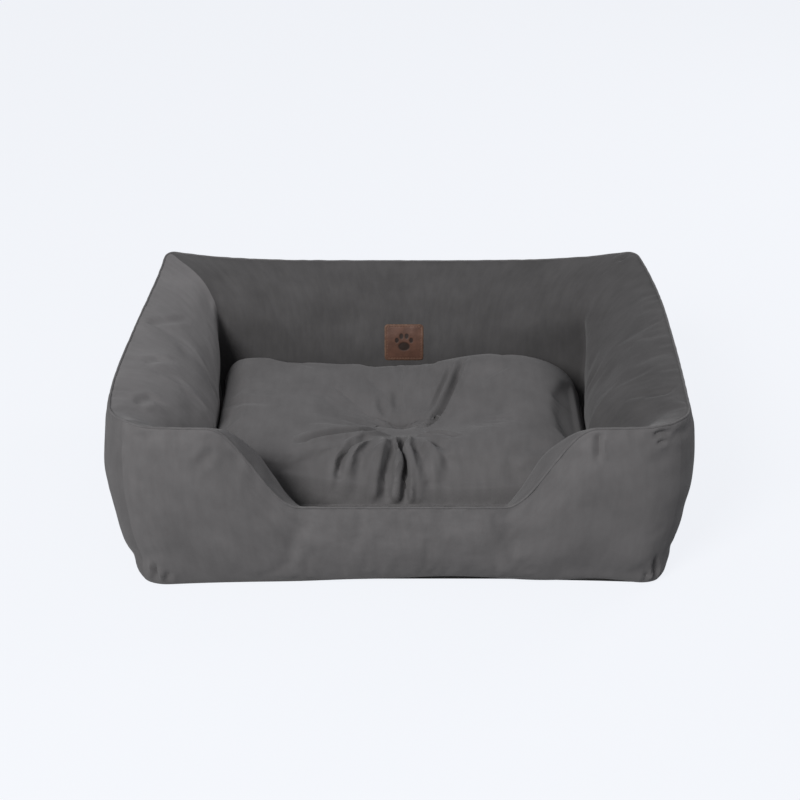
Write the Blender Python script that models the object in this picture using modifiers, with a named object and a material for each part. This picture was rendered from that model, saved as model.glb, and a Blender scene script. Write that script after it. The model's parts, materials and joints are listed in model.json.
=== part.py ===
"""Rectangular pet bed: a ring of four stuffed walls on a padded base, with a loose tufted cushion.

The front is at -Y, +X is to the right of someone facing the bed, and the floor is z = 0 at the bed's centre.
A wall is drawn as a cross-section of points (reach, z, corner), where reach is the distance outwards from the
line in which the wall's inner face meets the base, and corner is the radius with which that point turns the
bed's corners. The same section carried round the base gives walls that meet on the corners' diagonals.
"""

import math

import bmesh
import bpy
from mathutils import Matrix, Vector

# Driving dimensions, in metres.
BED_WIDTH = 0.704
BED_DEPTH = 0.512
WALL_HEIGHT = 0.219
FRONT_CORNER_PEAK = 0.004
BACK_CORNER_PEAK = 0.014
ENTRY_HEIGHT = 0.111
ENTRY_TOP_HALF = 0.222
ENTRY_FLAT_HALF = 0.125
FABRIC = 0.002
GAP = 0.0004

# The walls' cross-section.
FOOT_REACH = 0.062
RIDGE_REACH = 0.081
OUTER_SWELL = 0.024
SIDE_BOW = 0.013
BOW_RISE = 0.080
CORNER_INNER_SWELL = 0.022
SIDE_INNER_SWELL = 0.045
END_INNER_SWELL = 0.030
RIDGE_SEAM_RADIUS = 0.0022
SEAM_CLEARANCE = 0.0062
FILLING_CLEARANCE = 0.0012
FOOT_CORNER = 0.034
SWELL_CORNER = 0.052
RIDGE_CORNER = 0.013
HEEL_CORNER = 0.006
FACE_POINTS = 8
WALL_STATIONS = 7
FRONT_STATIONS = 22
SEAM_FRONT_STATIONS = 30
CORNER_SHARE = 0.09
CORNER_STEPS = 3

# The base, from the floor up.
UNDERSIDE_THICK = 0.002
WADDING_THICK = 0.008
LINING_THICK = 0.0015
WADDING_BOTTOM = UNDERSIDE_THICK + GAP
LINING_BOTTOM = WADDING_BOTTOM + WADDING_THICK + GAP
LINING_TOP = LINING_BOTTOM + LINING_THICK
HEEL_HEIGHT = LINING_TOP + GAP

# The cushion.
CUSHION_CLEARANCE = 0.0035
CUSHION_SEAM_HEIGHT = 0.066
CUSHION_CROWN = 0.058
CUSHION_SQUARENESS = 7.0
CUSHION_TURNS = 40
CUSHION_RINGS = 11
CUSHION_EDGE_SHARE = 0.997
CUSHION_FILLING_SHARE = 0.978
CUSHION_FILLING_DEPTH = 0.0032
CUSHION_SEAM_RADIUS = 0.0018
TUFT_DEPTH = 0.030
TUFT_UNDER_DEPTH = 0.014
TUFT_SPREAD = 0.045
TUFT_HOLE = 0.006
TIE_RADIUS = 0.0022
TIE_KNOT_RADIUS = 0.0075
TIE_KNOT_THICK = 0.0026

# The zip along the cushion's lower back edge.
ZIP_RING = 0.902
ZIP_LENGTH = 0.220
ZIP_CHAIN_WIDTH = 0.0034
ZIP_CHAIN_THICK = 0.0016
ZIP_TAPE_WIDTH = 0.0105
ZIP_TAPE_THICK = 0.0006
ZIP_TAPE_SPARE = 0.006
ZIP_STOP_LENGTH = 0.0026
ZIP_TAPE_TILT = math.radians(12)
ZIP_STANDOFF = 0.0009
SLIDER_LENGTH = 0.010
SLIDER_WIDTH = 0.0078
SLIDER_TOP = 0.0030
SLIDER_PLACE = ZIP_LENGTH / 2 - 0.012
ARCH_LENGTH = 0.0072
ARCH_WIDTH = 0.0012
ARCH_HEIGHT = 0.0036
ARCH_THICK = 0.0009
ARCH_SUNK = 0.0004
TAB_PIVOT_RISE = 0.0012
TAB_LENGTH = 0.009
TAB_WIDTH = 0.0048
TAB_THICK = 0.0008
TAB_WINDOW_WIDTH = 0.0026
TAB_WINDOW_LENGTH = 0.0042

# The label on the back wall.
LABEL_WIDTH = 0.053
LABEL_HEIGHT = 0.049
LABEL_THICK = 0.0014
LABEL_CORNER = 0.004
LABEL_FACE_SHARE = 0.51
LABEL_STANDOFF = 0.0008
LABEL_THREAD_RADIUS = 0.0004
LABEL_THREAD_INSET = 0.0035

CHARCOAL = (0.105, 0.100, 0.102, 1.0)
DARK_CLOTH = (0.022, 0.022, 0.024, 1.0)
FIBRE_WHITE = (0.78, 0.78, 0.76, 1.0)
TAN_LEATHER = (0.17, 0.075, 0.045, 1.0)
TAN_THREAD = (0.28, 0.15, 0.10, 1.0)
GREY_THREAD = (0.13, 0.125, 0.125, 1.0)
NICKEL = (0.45, 0.44, 0.43, 1.0)


def outer_face(t, height):
    """Section point on the outer face, from the foot at t = 0 to the ridge at t = 1."""
    grown = min(1.0, height / WALL_HEIGHT)
    swollen = math.sin(math.pi * t)
    reach = FOOT_REACH + (RIDGE_REACH - FOOT_REACH) * grown * t + OUTER_SWELL * grown * swollen
    corner = FOOT_CORNER + (RIDGE_CORNER - FOOT_CORNER) * t + SWELL_CORNER * swollen / 2
    return Vector((reach, height * t, corner))


def inner_face(t, height, swell):
    """Section point on the inner face, from the ridge at t = 0 down to the heel at t = 1."""
    ridge = outer_face(1.0, height)
    chord = Vector((0.0, HEEL_HEIGHT, HEEL_CORNER)) - ridge
    proud = Vector((chord.y, -chord.x, 0.0)).normalized() * swell * height / WALL_HEIGHT
    return ridge + chord * t + proud * math.sin(math.pi * t)


WALL_REACH = max(outer_face(k / 200, WALL_HEIGHT).x for k in range(201))
FLOOR_HALF_X = BED_WIDTH / 2 - WALL_REACH - SIDE_BOW
FLOOR_HALF_Y = BED_DEPTH / 2 - WALL_REACH


def ridge_height(side, s):
    """Height of the ridge at s, the share of the way along a wall: it climbs into the corners, most of
    all into the back ones, and the front wall's dips to the entry."""
    peak = BACK_CORNER_PEAK if side == "back" or (side != "front" and s > 0.5) else FRONT_CORNER_PEAK
    height = WALL_HEIGHT + peak * abs(2 * s - 1) ** 4
    if side == "front":
        x = abs(2 * s - 1) * (FLOOR_HALF_X + RIDGE_REACH)
        dip = min(1.0, max(0.0, (ENTRY_TOP_HALF - x) / (ENTRY_TOP_HALF - ENTRY_FLAT_HALF)))
        height -= (WALL_HEIGHT - ENTRY_HEIGHT) * dip * dip * (3 - 2 * dip)
    return height


def inner_swell(side, s):
    """How far the inner face swells at s. Both walls at a corner have the same swell there."""
    most = SIDE_INNER_SWELL if side in ("left", "right") else END_INNER_SWELL
    return CORNER_INNER_SWELL + (most - CORNER_INNER_SWELL) * math.sin(math.pi * s) ** 0.8


def turn_corner(share, half_along, half_across, corner):
    """Where the share of the way from a wall's middle to its end leads: straight along the wall, and then
    round half of the corner. The answer is the distance along the wall and the distance across the bed."""
    straight = half_along - corner
    way = share * (straight + corner * math.pi / 4)
    if way <= straight:
        return way, half_across
    angle = (way - straight) / corner
    return straight + corner * math.sin(angle), half_across - corner * (1 - math.cos(angle))


def side_bow(share, z):
    """How far a side wall bows outwards: most at the middle of its length, and nothing at its corners or foot."""
    rise = min(1.0, z / BOW_RISE)
    return SIDE_BOW * (1 - abs(share) ** 3) * rise * (2 - rise)


def place(side, s, point, pull=GAP):
    """Where a section point of a wall lies in the bed. pull keeps the ends of two walls apart."""
    reach, z, corner = point
    half_x, half_y = FLOOR_HALF_X + reach, FLOOR_HALF_Y + reach
    halves = (half_x, half_y) if side in ("front", "back") else (half_y, half_x)
    share = 2 * s - 1
    along, across = turn_corner(abs(share), *halves, corner)
    along = (along - pull * abs(share)) * math.copysign(1, share)
    if side in ("front", "back"):
        return Vector((along, -across if side == "front" else across, z))
    across += side_bow(share, z)
    return Vector((-across if side == "left" else across, along, z))


def inset(curve, distance):
    """The curve moved sideways into the wall by the distance."""
    moved = []
    for k, point in enumerate(curve):
        run = curve[min(k + 1, len(curve) - 1)] - curve[max(k - 1, 0)]
        moved.append(point + Vector((-run.y, run.x, 0.0)).normalized() * distance)
    return moved


def between(low, high, count):
    return [low + (high - low) * k / (count - 1) for k in range(count)]


def stations(count):
    """Shares of the way along a wall, with ones close together where it turns a corner."""
    turn = [k * CORNER_SHARE / CORNER_STEPS for k in range(CORNER_STEPS)]
    return turn + between(CORNER_SHARE, 1 - CORNER_SHARE, count) + [1 - k for k in turn[::-1]]


def climb(low, high):
    """Shares from low to high, closer together towards high."""
    last = FACE_POINTS - 1
    return [low + (high - low) * (1 - (1 - k / last) ** 1.5) for k in range(FACE_POINTS)]


def outer_curve(side, s):
    height = ridge_height(side, s)
    lowest = (UNDERSIDE_THICK + GAP) / height
    return [outer_face(t, height) for t in climb(lowest, 1 - SEAM_CLEARANCE / height)]


def inner_curve(side, s):
    height = ridge_height(side, s)
    swell = inner_swell(side, s)
    rising = climb(0.0, 1 - SEAM_CLEARANCE / height)
    return [inner_face(1 - t, height, swell) for t in rising][::-1]


def outer_panel_section(side, s):
    face = outer_curve(side, s)
    return inset(face, FABRIC) + face[::-1]


def inner_panel_section(side, s):
    face = inner_curve(side, s)
    return inset(face, FABRIC) + face[::-1]


def filling_section(side, s):
    """The stuffed core: both faces moved in past the fabric, short of the ridge, and a flat bottom."""
    depth = FABRIC + FILLING_CLEARANCE
    outer = inset(outer_curve(side, s), depth)[:-1]
    inner = inset(inner_curve(side, s), depth)[1:]
    heel = Vector((inner[-1].x + GAP, UNDERSIDE_THICK + GAP, inner[-1].z))
    return outer + inner + [heel]


def material(name, colour, roughness, metallic=0.0):
    found = bpy.data.materials.get(name)
    if found:
        return found
    made = bpy.data.materials.new(name)
    made.use_nodes = True
    shader = made.node_tree.nodes["Principled BSDF"]
    shader.inputs["Base Color"].default_value = colour
    shader.inputs["Roughness"].default_value = roughness
    shader.inputs["Metallic"].default_value = metallic
    return made


def charcoal():
    return material("charcoal_cloth", CHARCOAL, 0.85)


def fibre():
    return material("fibre", FIBRE_WHITE, 0.95)


def finish(name, data, collection, stuff):
    obj = bpy.data.objects.new(name, data)
    obj.data.materials.append(stuff)
    collection.objects.link(obj)
    return obj


def loft(rings, closed=False):
    """A solid through rings of the same number of points. A closed loft joins its last ring to its first.
    Its quads are all split along the same diagonal, so that nested lofts stay parallel."""
    bm = bmesh.new()
    loops = [[bm.verts.new(p) for p in ring] for ring in rings]
    size = len(rings[0])
    count = len(rings) if closed else len(rings) - 1
    for i in range(count):
        here, there = loops[i], loops[(i + 1) % len(rings)]
        for k in range(size):
            bm.faces.new((here[k], here[(k + 1) % size], there[(k + 1) % size], there[k]))
    bmesh.ops.triangulate(bm, faces=bm.faces, quad_method="FIXED")
    if not closed:
        bm.faces.new(loops[0])
        bm.faces.new(loops[-1][::-1])
    bmesh.ops.recalc_face_normals(bm, faces=bm.faces)
    mesh = bpy.data.meshes.new("loft")
    bm.to_mesh(mesh)
    bm.free()
    mesh.shade_smooth()
    mesh.set_sharp_from_angle(angle=math.radians(50))
    return mesh


def wall_piece(name, side, section, collection, stuff):
    count = FRONT_STATIONS if side == "front" else WALL_STATIONS
    rings = [[place(side, s, p) for p in section(side, s)] for s in stations(count)]
    return finish(name, loft(rings), collection, stuff)


def rounded_outline(half_x, half_y, radius, steps=5):
    """Points round a rectangle with round corners, in the XY plane."""
    points = []
    for corner, (sx, sy) in enumerate(((1, 1), (-1, 1), (-1, -1), (1, -1))):
        centre = Vector((sx * (half_x - radius), sy * (half_y - radius), 0.0))
        for k in range(steps + 1):
            turn = math.radians(90) * (corner + k / steps)
            points.append(centre + radius * Vector((math.cos(turn), math.sin(turn), 0.0)))
    return points


def slab(name, half_x, half_y, radius, bottom, thick, collection, stuff):
    """A flat cloth or pad with round corners: a filled outline with a thickness."""
    curve = bpy.data.curves.new(name, "CURVE")
    curve.dimensions = "2D"
    curve.fill_mode = "BOTH"
    curve.extrude = thick / 2
    points = rounded_outline(half_x, half_y, radius)
    spline = curve.splines.new("POLY")
    spline.points.add(len(points) - 1)
    for spot, p in zip(spline.points, points):
        spot.co = (p.x, p.y, 0.0, 1.0)
    spline.use_cyclic_u = True
    obj = finish(name, curve, collection, stuff)
    obj.location.z = bottom + thick / 2
    return obj


def bead(name, points, radius, collection, stuff, sides=1):
    """A closed loop of round section, for a sewn seam or a line of thread."""
    curve = bpy.data.curves.new(name, "CURVE")
    curve.dimensions = "3D"
    curve.bevel_depth = radius
    curve.bevel_resolution = sides
    spline = curve.splines.new("POLY")
    spline.points.add(len(points) - 1)
    for spot, p in zip(spline.points, points):
        spot.co = (*p, 1.0)
    spline.use_cyclic_u = True
    return finish(name, curve, collection, stuff)


def box(name, size, centre, frame, collection, stuff):
    """A block round a centre, both given in the axes of a frame that becomes the object's own."""
    bm = bmesh.new()
    bmesh.ops.create_cube(bm, size=1.0, matrix=Matrix.Translation(centre) @ Matrix.Diagonal((*size, 1.0)))
    mesh = bpy.data.meshes.new(name)
    bm.to_mesh(mesh)
    bm.free()
    obj = finish(name, mesh, collection, stuff)
    obj.matrix_world = frame
    return obj


def boolean(obj, other, operation):
    modifier = obj.modifiers.new(operation.lower(), "BOOLEAN")
    modifier.operation = operation
    modifier.object = other


def make_base(bed):
    foot_x, foot_y = FLOOR_HALF_X + FOOT_REACH, FLOOR_HALF_Y + FOOT_REACH
    dark = material("underside_cloth", DARK_CLOTH, 0.7)
    slab("base_underside", foot_x, foot_y, FOOT_CORNER, 0.0, UNDERSIDE_THICK, bed, dark)
    pad_x, pad_y = FLOOR_HALF_X - GAP, FLOOR_HALF_Y - GAP
    slab("base_wadding", pad_x, pad_y, HEEL_CORNER, WADDING_BOTTOM, WADDING_THICK, bed, fibre())
    slab("base_lining", FLOOR_HALF_X, FLOOR_HALF_Y, HEEL_CORNER, LINING_BOTTOM, LINING_THICK, bed, charcoal())


def make_walls(bed):
    for side in ("front", "back", "left", "right"):
        wall_piece(f"{side}_wall_outer_panel", side, outer_panel_section, bed, charcoal())
        wall_piece(f"{side}_wall_inner_panel", side, inner_panel_section, bed, charcoal())
        wall_piece(f"{side}_wall_filling", side, filling_section, bed, fibre())


def ridge_line(side, count):
    return [place(side, s, outer_face(1.0, ridge_height(side, s)), pull=0.0) for s in stations(count)[:-1]]


def make_ridge_seam(bed):
    """The sewn ridge runs all the way round, up into each corner and down through the entry."""
    points = ridge_line("front", SEAM_FRONT_STATIONS) + ridge_line("right", WALL_STATIONS)
    for side in ("back", "left"):
        points += [place(side, 1 - s, outer_face(1.0, ridge_height(side, 1 - s)), pull=0.0)
                   for s in stations(WALL_STATIONS)[:-1]]
    bead("ridge_seam", points, RIDGE_SEAM_RADIUS, bed, material("grey_thread", GREY_THREAD, 0.8))


def cushion_half_sizes():
    """Half width and half depth that pass between the swollen inner faces of the walls."""
    halves = []
    for side, axis in (("right", 0), ("back", 1)):
        face = [inner_face(k / 60, WALL_HEIGHT, inner_swell(side, 0.5)) for k in range(61)]
        halves.append(min(place(side, 0.5, p)[axis] for p in face) - CUSHION_CLEARANCE)
    return halves


CUSHION_HALF_X, CUSHION_HALF_Y = cushion_half_sizes()
CUSHION_BOTTOM = LINING_TOP + 2 * GAP


def cushion_fall(r, sharpness):
    """1 over the middle of the cushion, falling to 0 at its edge seam."""
    return (1 - r**sharpness) ** 0.5


def cushion_point(turn, r, upper, depth=0.0):
    """A point of the cushion's cover, a share r of the way out to the edge, and a depth into the cushion."""
    c, s = math.cos(turn), math.sin(turn)
    x = CUSHION_HALF_X * math.copysign(abs(c) ** (2 / CUSHION_SQUARENESS), c)
    y = CUSHION_HALF_Y * math.copysign(abs(s) ** (2 / CUSHION_SQUARENESS), s)
    dimple = math.exp(-((r * math.hypot(x, y) / TUFT_SPREAD) ** 2))
    if upper:
        z = CUSHION_SEAM_HEIGHT + CUSHION_CROWN * cushion_fall(r, 6) - TUFT_DEPTH * dimple - depth
    else:
        drop = CUSHION_SEAM_HEIGHT - CUSHION_BOTTOM
        z = CUSHION_SEAM_HEIGHT - drop * cushion_fall(r, 8) + TUFT_UNDER_DEPTH * dimple + depth
    return Vector((x * r, y * r, z))


def ring_shares():
    """Shares of the way out from the tie's hole, closer together there and at the edge."""
    hole = TUFT_HOLE / CUSHION_HALF_X
    span = (CUSHION_EDGE_SHARE - hole) / 2
    return [hole + span * (1 - math.cos(math.pi * k / (CUSHION_RINGS - 1))) for k in range(CUSHION_RINGS)]


def turns():
    return [2 * math.pi * (k + 0.5) / CUSHION_TURNS for k in range(CUSHION_TURNS)]


def cover_mesh(upper):
    """One half of the cushion's cover, as an open surface with a hole for the tuft tie."""
    bm = bmesh.new()
    rings = []
    for r in ring_shares():
        rings.append([bm.verts.new(cushion_point(turn, r, upper)) for turn in turns()])
    for inside, outside in zip(rings, rings[1:]):
        for k in range(CUSHION_TURNS):
            n = (k + 1) % CUSHION_TURNS
            face = (inside[k], outside[k], outside[n], inside[n])
            bm.faces.new(face if upper else face[::-1])
    mesh = bpy.data.meshes.new("cover")
    bm.to_mesh(mesh)
    bm.free()
    mesh.shade_smooth()
    return mesh


def make_cover(name, upper, collection):
    obj = finish(name, cover_mesh(upper), collection, charcoal())
    solid = obj.modifiers.new("thickness", "SOLIDIFY")
    solid.thickness = FABRIC * 0.75
    solid.offset = -1.0
    return obj


def make_cushion(loose):
    make_cover("cushion_top_panel", True, loose)
    make_cover("cushion_bottom_panel", False, loose)
    shares = ring_shares()[1:]
    shrink = Matrix.Diagonal((CUSHION_FILLING_SHARE, CUSHION_FILLING_SHARE, 1.0))
    rings = []
    for turn in turns():
        top = [shrink @ cushion_point(turn, r, True, CUSHION_FILLING_DEPTH) for r in shares]
        bottom = [shrink @ cushion_point(turn, r, False, CUSHION_FILLING_DEPTH) for r in shares]
        rings.append(top + bottom[::-1])
    finish("cushion_filling", loft(rings, closed=True), loose, fibre())
    edge = []
    for turn in turns():
        point = cushion_point(turn, 1.0, True)
        edge.append(Vector((point.x, point.y, CUSHION_SEAM_HEIGHT)))
    bead("cushion_edge_seam", edge, CUSHION_SEAM_RADIUS, loose, material("grey_thread", GREY_THREAD, 0.8))


def make_tuft_tie(loose):
    """The tie that draws the two covers together, as a turned shape with a flat knot at each end."""
    hole = TUFT_HOLE / CUSHION_HALF_X
    top = cushion_point(0.0, hole, True).z + GAP
    bottom = cushion_point(0.0, hole, False).z - GAP
    profile = (
        (0.0, top + TIE_KNOT_THICK),
        (TIE_KNOT_RADIUS * 0.7, top + TIE_KNOT_THICK),
        (TIE_KNOT_RADIUS, top + TIE_KNOT_THICK / 2),
        (TIE_KNOT_RADIUS * 0.8, top + GAP),
        (TIE_RADIUS, top),
        (TIE_RADIUS, bottom),
        (TIE_KNOT_RADIUS * 0.8, bottom - GAP),
        (TIE_KNOT_RADIUS, bottom - TIE_KNOT_THICK / 2),
        (TIE_KNOT_RADIUS * 0.7, bottom - TIE_KNOT_THICK),
        (0.0, bottom - TIE_KNOT_THICK),
    )
    bm = bmesh.new()
    points = [bm.verts.new((r, 0.0, z)) for r, z in profile]
    for a, b in zip(points, points[1:]):
        bm.edges.new((a, b))
    mesh = bpy.data.meshes.new("tie")
    bm.to_mesh(mesh)
    bm.free()
    obj = finish("tuft_tie", mesh, loose, material("grey_thread", GREY_THREAD, 0.8))
    screw = obj.modifiers.new("turn", "SCREW")
    screw.steps = screw.render_steps = 14
    screw.use_merge_vertices = True
    screw.merge_threshold = 0.0001
    return obj


def zip_frame():
    """The zip's middle and its axes: along it, across it towards the edge seam, and out of the cushion."""
    turn = math.radians(90)
    here = cushion_point(turn, ZIP_RING, False)
    ahead = cushion_point(turn, ZIP_RING + 0.01, False)
    along = Vector((1.0, 0.0, 0.0))
    across = Vector((0.0, ahead.y - here.y, ahead.z - here.z)).normalized()
    out = across.cross(along)
    frame = Matrix((along, across, out)).transposed().to_4x4()
    frame.translation = Vector((0.0, here.y, here.z)) + out * ZIP_STANDOFF
    return frame


def make_zip(loose, frame):
    """Two tapes with a closed chain of teeth between them, and a stop at each end of the chain."""
    cloth = material("zip_tape", DARK_CLOTH, 0.8)
    nylon = material("zip_chain", DARK_CLOTH, 0.4)
    nickel = material("nickel", NICKEL, 0.35, 1.0)
    middle = (0, 0, ZIP_CHAIN_THICK / 2)
    box("zip_chain", (ZIP_LENGTH, ZIP_CHAIN_WIDTH, ZIP_CHAIN_THICK), middle, frame, loose, nylon)
    for name, way in (("zip_tape_upper", 1), ("zip_tape_lower", -1)):
        size = (ZIP_LENGTH + 2 * ZIP_TAPE_SPARE, ZIP_TAPE_WIDTH, ZIP_TAPE_THICK)
        hinge = frame @ Matrix.Translation((0, way * (ZIP_CHAIN_WIDTH / 2 + GAP), 0))
        lean = Matrix.Rotation(-way * ZIP_TAPE_TILT, 4, "X")
        box(name, size, (0, way * ZIP_TAPE_WIDTH / 2, ZIP_TAPE_THICK / 2), hinge @ lean, loose, cloth)
    for name, way in (("zip_stop_closed", 1), ("zip_stop_open", -1)):
        size = (ZIP_STOP_LENGTH, ZIP_CHAIN_WIDTH * 1.3, ZIP_CHAIN_THICK)
        reach = ZIP_LENGTH / 2 + GAP + ZIP_STOP_LENGTH / 2
        box(name, size, (way * reach, 0, ZIP_TAPE_THICK + GAP + ZIP_CHAIN_THICK / 2), frame, loose, nickel)


def make_slider(loose, cutters, at):
    """The slider rides over the chain: a plate with two cheeks, and an arch that holds the pull tab."""
    nickel = material("nickel", NICKEL, 0.35, 1.0)
    body_low = ZIP_TAPE_THICK + GAP
    channel_top = ZIP_CHAIN_THICK + GAP
    height = SLIDER_TOP - body_low
    body_size = (SLIDER_LENGTH, SLIDER_WIDTH, height)
    body = box("zip_slider", body_size, (0, 0, body_low + height / 2), at, loose, nickel)
    channel_size = (2 * SLIDER_LENGTH, ZIP_CHAIN_WIDTH + 2 * GAP, 2 * (channel_top - body_low))
    channel = box("slider_channel", channel_size, (0, 0, body_low), at, cutters, nickel)
    boolean(body, channel, "DIFFERENCE")
    arch_middle = SLIDER_TOP + ARCH_HEIGHT / 2 - ARCH_SUNK
    arch_size = (ARCH_LENGTH, ARCH_WIDTH, ARCH_HEIGHT)
    arch = box("slider_arch", arch_size, (0, 0, arch_middle), at, cutters, nickel)
    window_size = (ARCH_LENGTH - 2 * ARCH_THICK, 2 * ARCH_WIDTH, ARCH_HEIGHT)
    window = box("arch_window", window_size, (0, 0, arch_middle - ARCH_THICK), at, cutters, nickel)
    boolean(arch, window, "DIFFERENCE")
    boolean(body, arch, "UNION")


def make_pull_tab(loose, cutters, pivot):
    """The tab hangs from its cross bar, which is held under the slider's arch."""
    nickel = material("nickel", NICKEL, 0.35, 1.0)
    size = (TAB_THICK, TAB_WIDTH, TAB_LENGTH)
    tab = box("zip_pull_tab", size, (0, 0, (TAB_LENGTH - TAB_THICK) / 2), pivot, loose, nickel)
    window_size = (4 * TAB_THICK, TAB_WINDOW_WIDTH, TAB_WINDOW_LENGTH)
    window_middle = (0, 0, (TAB_THICK + TAB_WINDOW_LENGTH) / 2)
    window = box("tab_window", window_size, window_middle, pivot, cutters, nickel)
    boolean(tab, window, "DIFFERENCE")


def label_frame():
    """The label lies flat against the back wall's inner face: across it, up it and out of it."""
    height, swell = ridge_height("back", 0.5), inner_swell("back", 0.5)
    here = inner_face(LABEL_FACE_SHARE, height, swell)
    above = inner_face(LABEL_FACE_SHARE - 0.01, height, swell)
    up = (place("back", 0.5, above) - place("back", 0.5, here)).normalized()
    along = Vector((1.0, 0.0, 0.0))
    out = along.cross(up)
    frame = Matrix((along, up, out)).transposed().to_4x4()
    frame.translation = place("back", 0.5, here) + out * (LABEL_STANDOFF + LABEL_THICK / 2)
    return frame


def make_label(bed):
    """A leather patch, and the line of thread that holds it."""
    frame = label_frame()
    leather = material("tan_leather", TAN_LEATHER, 0.6)
    half_x, half_y = LABEL_WIDTH / 2, LABEL_HEIGHT / 2
    patch = slab("label_patch", half_x, half_y, LABEL_CORNER, 0.0, LABEL_THICK, bed, leather)
    patch.matrix_world = frame
    lift = Vector((0, 0, LABEL_THICK / 2 + LABEL_THREAD_RADIUS + GAP / 2))
    border = rounded_outline(half_x - LABEL_THREAD_INSET, half_y - LABEL_THREAD_INSET, LABEL_CORNER / 2, 2)
    line = [frame @ (p + lift) for p in border]
    bead("label_thread", line, LABEL_THREAD_RADIUS, bed, material("tan_thread", TAN_THREAD, 0.7))


def new_collection(name, hidden=False):
    made = bpy.data.collections.new(name)
    bpy.context.scene.collection.children.link(made)
    made.hide_render = hidden
    return made


def main():
    for obj in list(bpy.data.objects):
        bpy.data.objects.remove(obj)
    bed = new_collection("pet_bed")
    cutters = new_collection("cutters", hidden=True)
    make_base(bed)
    make_walls(bed)
    make_ridge_seam(bed)
    make_label(bed)
    make_cushion(bed)
    make_tuft_tie(bed)
    frame = zip_frame()
    slider_frame = frame @ Matrix.Translation((SLIDER_PLACE, 0, 0))
    pivot = slider_frame @ Matrix.Translation((0, 0, SLIDER_TOP + TAB_PIVOT_RISE))
    make_zip(bed, frame)
    make_slider(bed, cutters, slider_frame)
    make_pull_tab(bed, cutters, pivot)
    for helper in cutters.objects:
        helper.hide_render = True
        helper.display_type = "WIRE"
    print("floor half sizes", round(FLOOR_HALF_X, 4), round(FLOOR_HALF_Y, 4))
    print("cushion half sizes", round(CUSHION_HALF_X, 4), round(CUSHION_HALF_Y, 4))
    print("lining top", round(LINING_TOP, 4), "zip pivot", [round(v, 5) for v in pivot.translation])
    print("zip pull axis", [round(v, 5) for v in pivot.col[1].xyz])


main()
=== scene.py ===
# %% [markdown]
# # A walled pet bed with a loose tufted cushion
#
# Four stuffed walls stand round a padded base, and a cushion lies loose between them. Everything is
# soft, so the work is in cloth: covers that swell between their seams, pucker where they are sewn
# and crease where the tuft draws the cushion down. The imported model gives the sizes, and every
# piece here is built around it.

import json
import math

import bpy
import numpy as np
from mathutils import Matrix, Vector, noise
from mathutils.bvhtree import BVHTree


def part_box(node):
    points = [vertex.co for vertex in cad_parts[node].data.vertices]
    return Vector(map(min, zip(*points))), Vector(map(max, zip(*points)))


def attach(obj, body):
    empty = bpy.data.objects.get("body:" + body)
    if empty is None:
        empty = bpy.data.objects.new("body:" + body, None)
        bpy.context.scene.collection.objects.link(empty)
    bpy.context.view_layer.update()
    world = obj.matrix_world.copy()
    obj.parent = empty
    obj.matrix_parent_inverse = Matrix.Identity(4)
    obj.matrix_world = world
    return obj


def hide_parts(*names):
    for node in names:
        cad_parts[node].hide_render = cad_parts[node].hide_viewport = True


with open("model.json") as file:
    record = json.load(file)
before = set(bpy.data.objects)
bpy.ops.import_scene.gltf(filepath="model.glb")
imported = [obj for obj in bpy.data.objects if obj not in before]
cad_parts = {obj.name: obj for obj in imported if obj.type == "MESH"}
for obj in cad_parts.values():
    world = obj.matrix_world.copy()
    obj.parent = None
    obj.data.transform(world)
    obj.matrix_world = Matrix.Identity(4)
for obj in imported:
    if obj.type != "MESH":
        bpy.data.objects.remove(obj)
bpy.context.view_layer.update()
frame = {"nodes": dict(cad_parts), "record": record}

# %% [markdown]
# ## Small helpers
#
# Operators act on whatever is selected, so `pick` leaves one object selected and active. A mesh's
# points go in and out of numpy in one call each, which makes it quick to shape thousands of them by
# formula. Numbers given to the points stay with them when points are merged or added.


# %% Making, selecting and moving
def pick(obj):
    bpy.ops.object.select_all(action="DESELECT")
    obj.select_set(True)
    bpy.context.view_layer.objects.active = obj


def newest(name):
    """The object that the last operator made, under the name given."""
    made = bpy.context.object
    made.name = made.data.name = name
    return made


def make_grid(name, columns, rows):
    bpy.ops.mesh.primitive_grid_add(x_subdivisions=columns, y_subdivisions=rows, size=1)
    return newest(name)


def add_object(name, data):
    made = bpy.data.objects.new(name, data)
    bpy.context.collection.objects.link(made)
    return made


def edit_all(obj, operator, **settings):
    """Runs a mesh operator on the whole of an object."""
    pick(obj)
    bpy.ops.object.mode_set(mode="EDIT")
    bpy.ops.mesh.select_all(action="SELECT")
    operator(**settings)
    bpy.ops.object.mode_set(mode="OBJECT")


def points_of(mesh):
    flat = np.zeros(len(mesh.vertices) * 3)
    mesh.vertices.foreach_get("co", flat)
    return flat.reshape(-1, 3)


def set_points(mesh, points):
    mesh.vertices.foreach_set("co", np.asarray(points, float).ravel())
    mesh.update()


def normals_of(mesh):
    flat = np.zeros(len(mesh.vertices) * 3)
    mesh.vertex_normals.foreach_get("vector", flat)
    return flat.reshape(-1, 3)


def apply_modifiers(obj):
    pick(obj)
    for modifier in list(obj.modifiers):
        bpy.ops.object.modifier_apply(modifier=modifier.name)


def smooth(obj, degrees=60):
    pick(obj)
    bpy.ops.object.shade_smooth_by_angle(angle=math.radians(degrees))


def wobble(points, size, seed):
    """A smooth random number from -1 to 1 for each point, changing over about the size given."""
    shift = Vector((seed * 7.3, seed * 3.1, seed * 5.7))
    return np.array([noise.noise(Vector(p) / size + shift) for p in points])


def ease(x):
    """Goes smoothly from 0 to 1 as x does."""
    x = np.clip(x, 0.0, 1.0)
    return x * x * (3 - 2 * x)


# %% Numbers that stay with the points
def store(mesh, name, values, kind="FLOAT"):
    layer = mesh.attributes.new(name, kind, "POINT")
    layer.data.foreach_set("value", np.asarray(values, np.int32 if kind == "INT" else np.float32))


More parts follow.
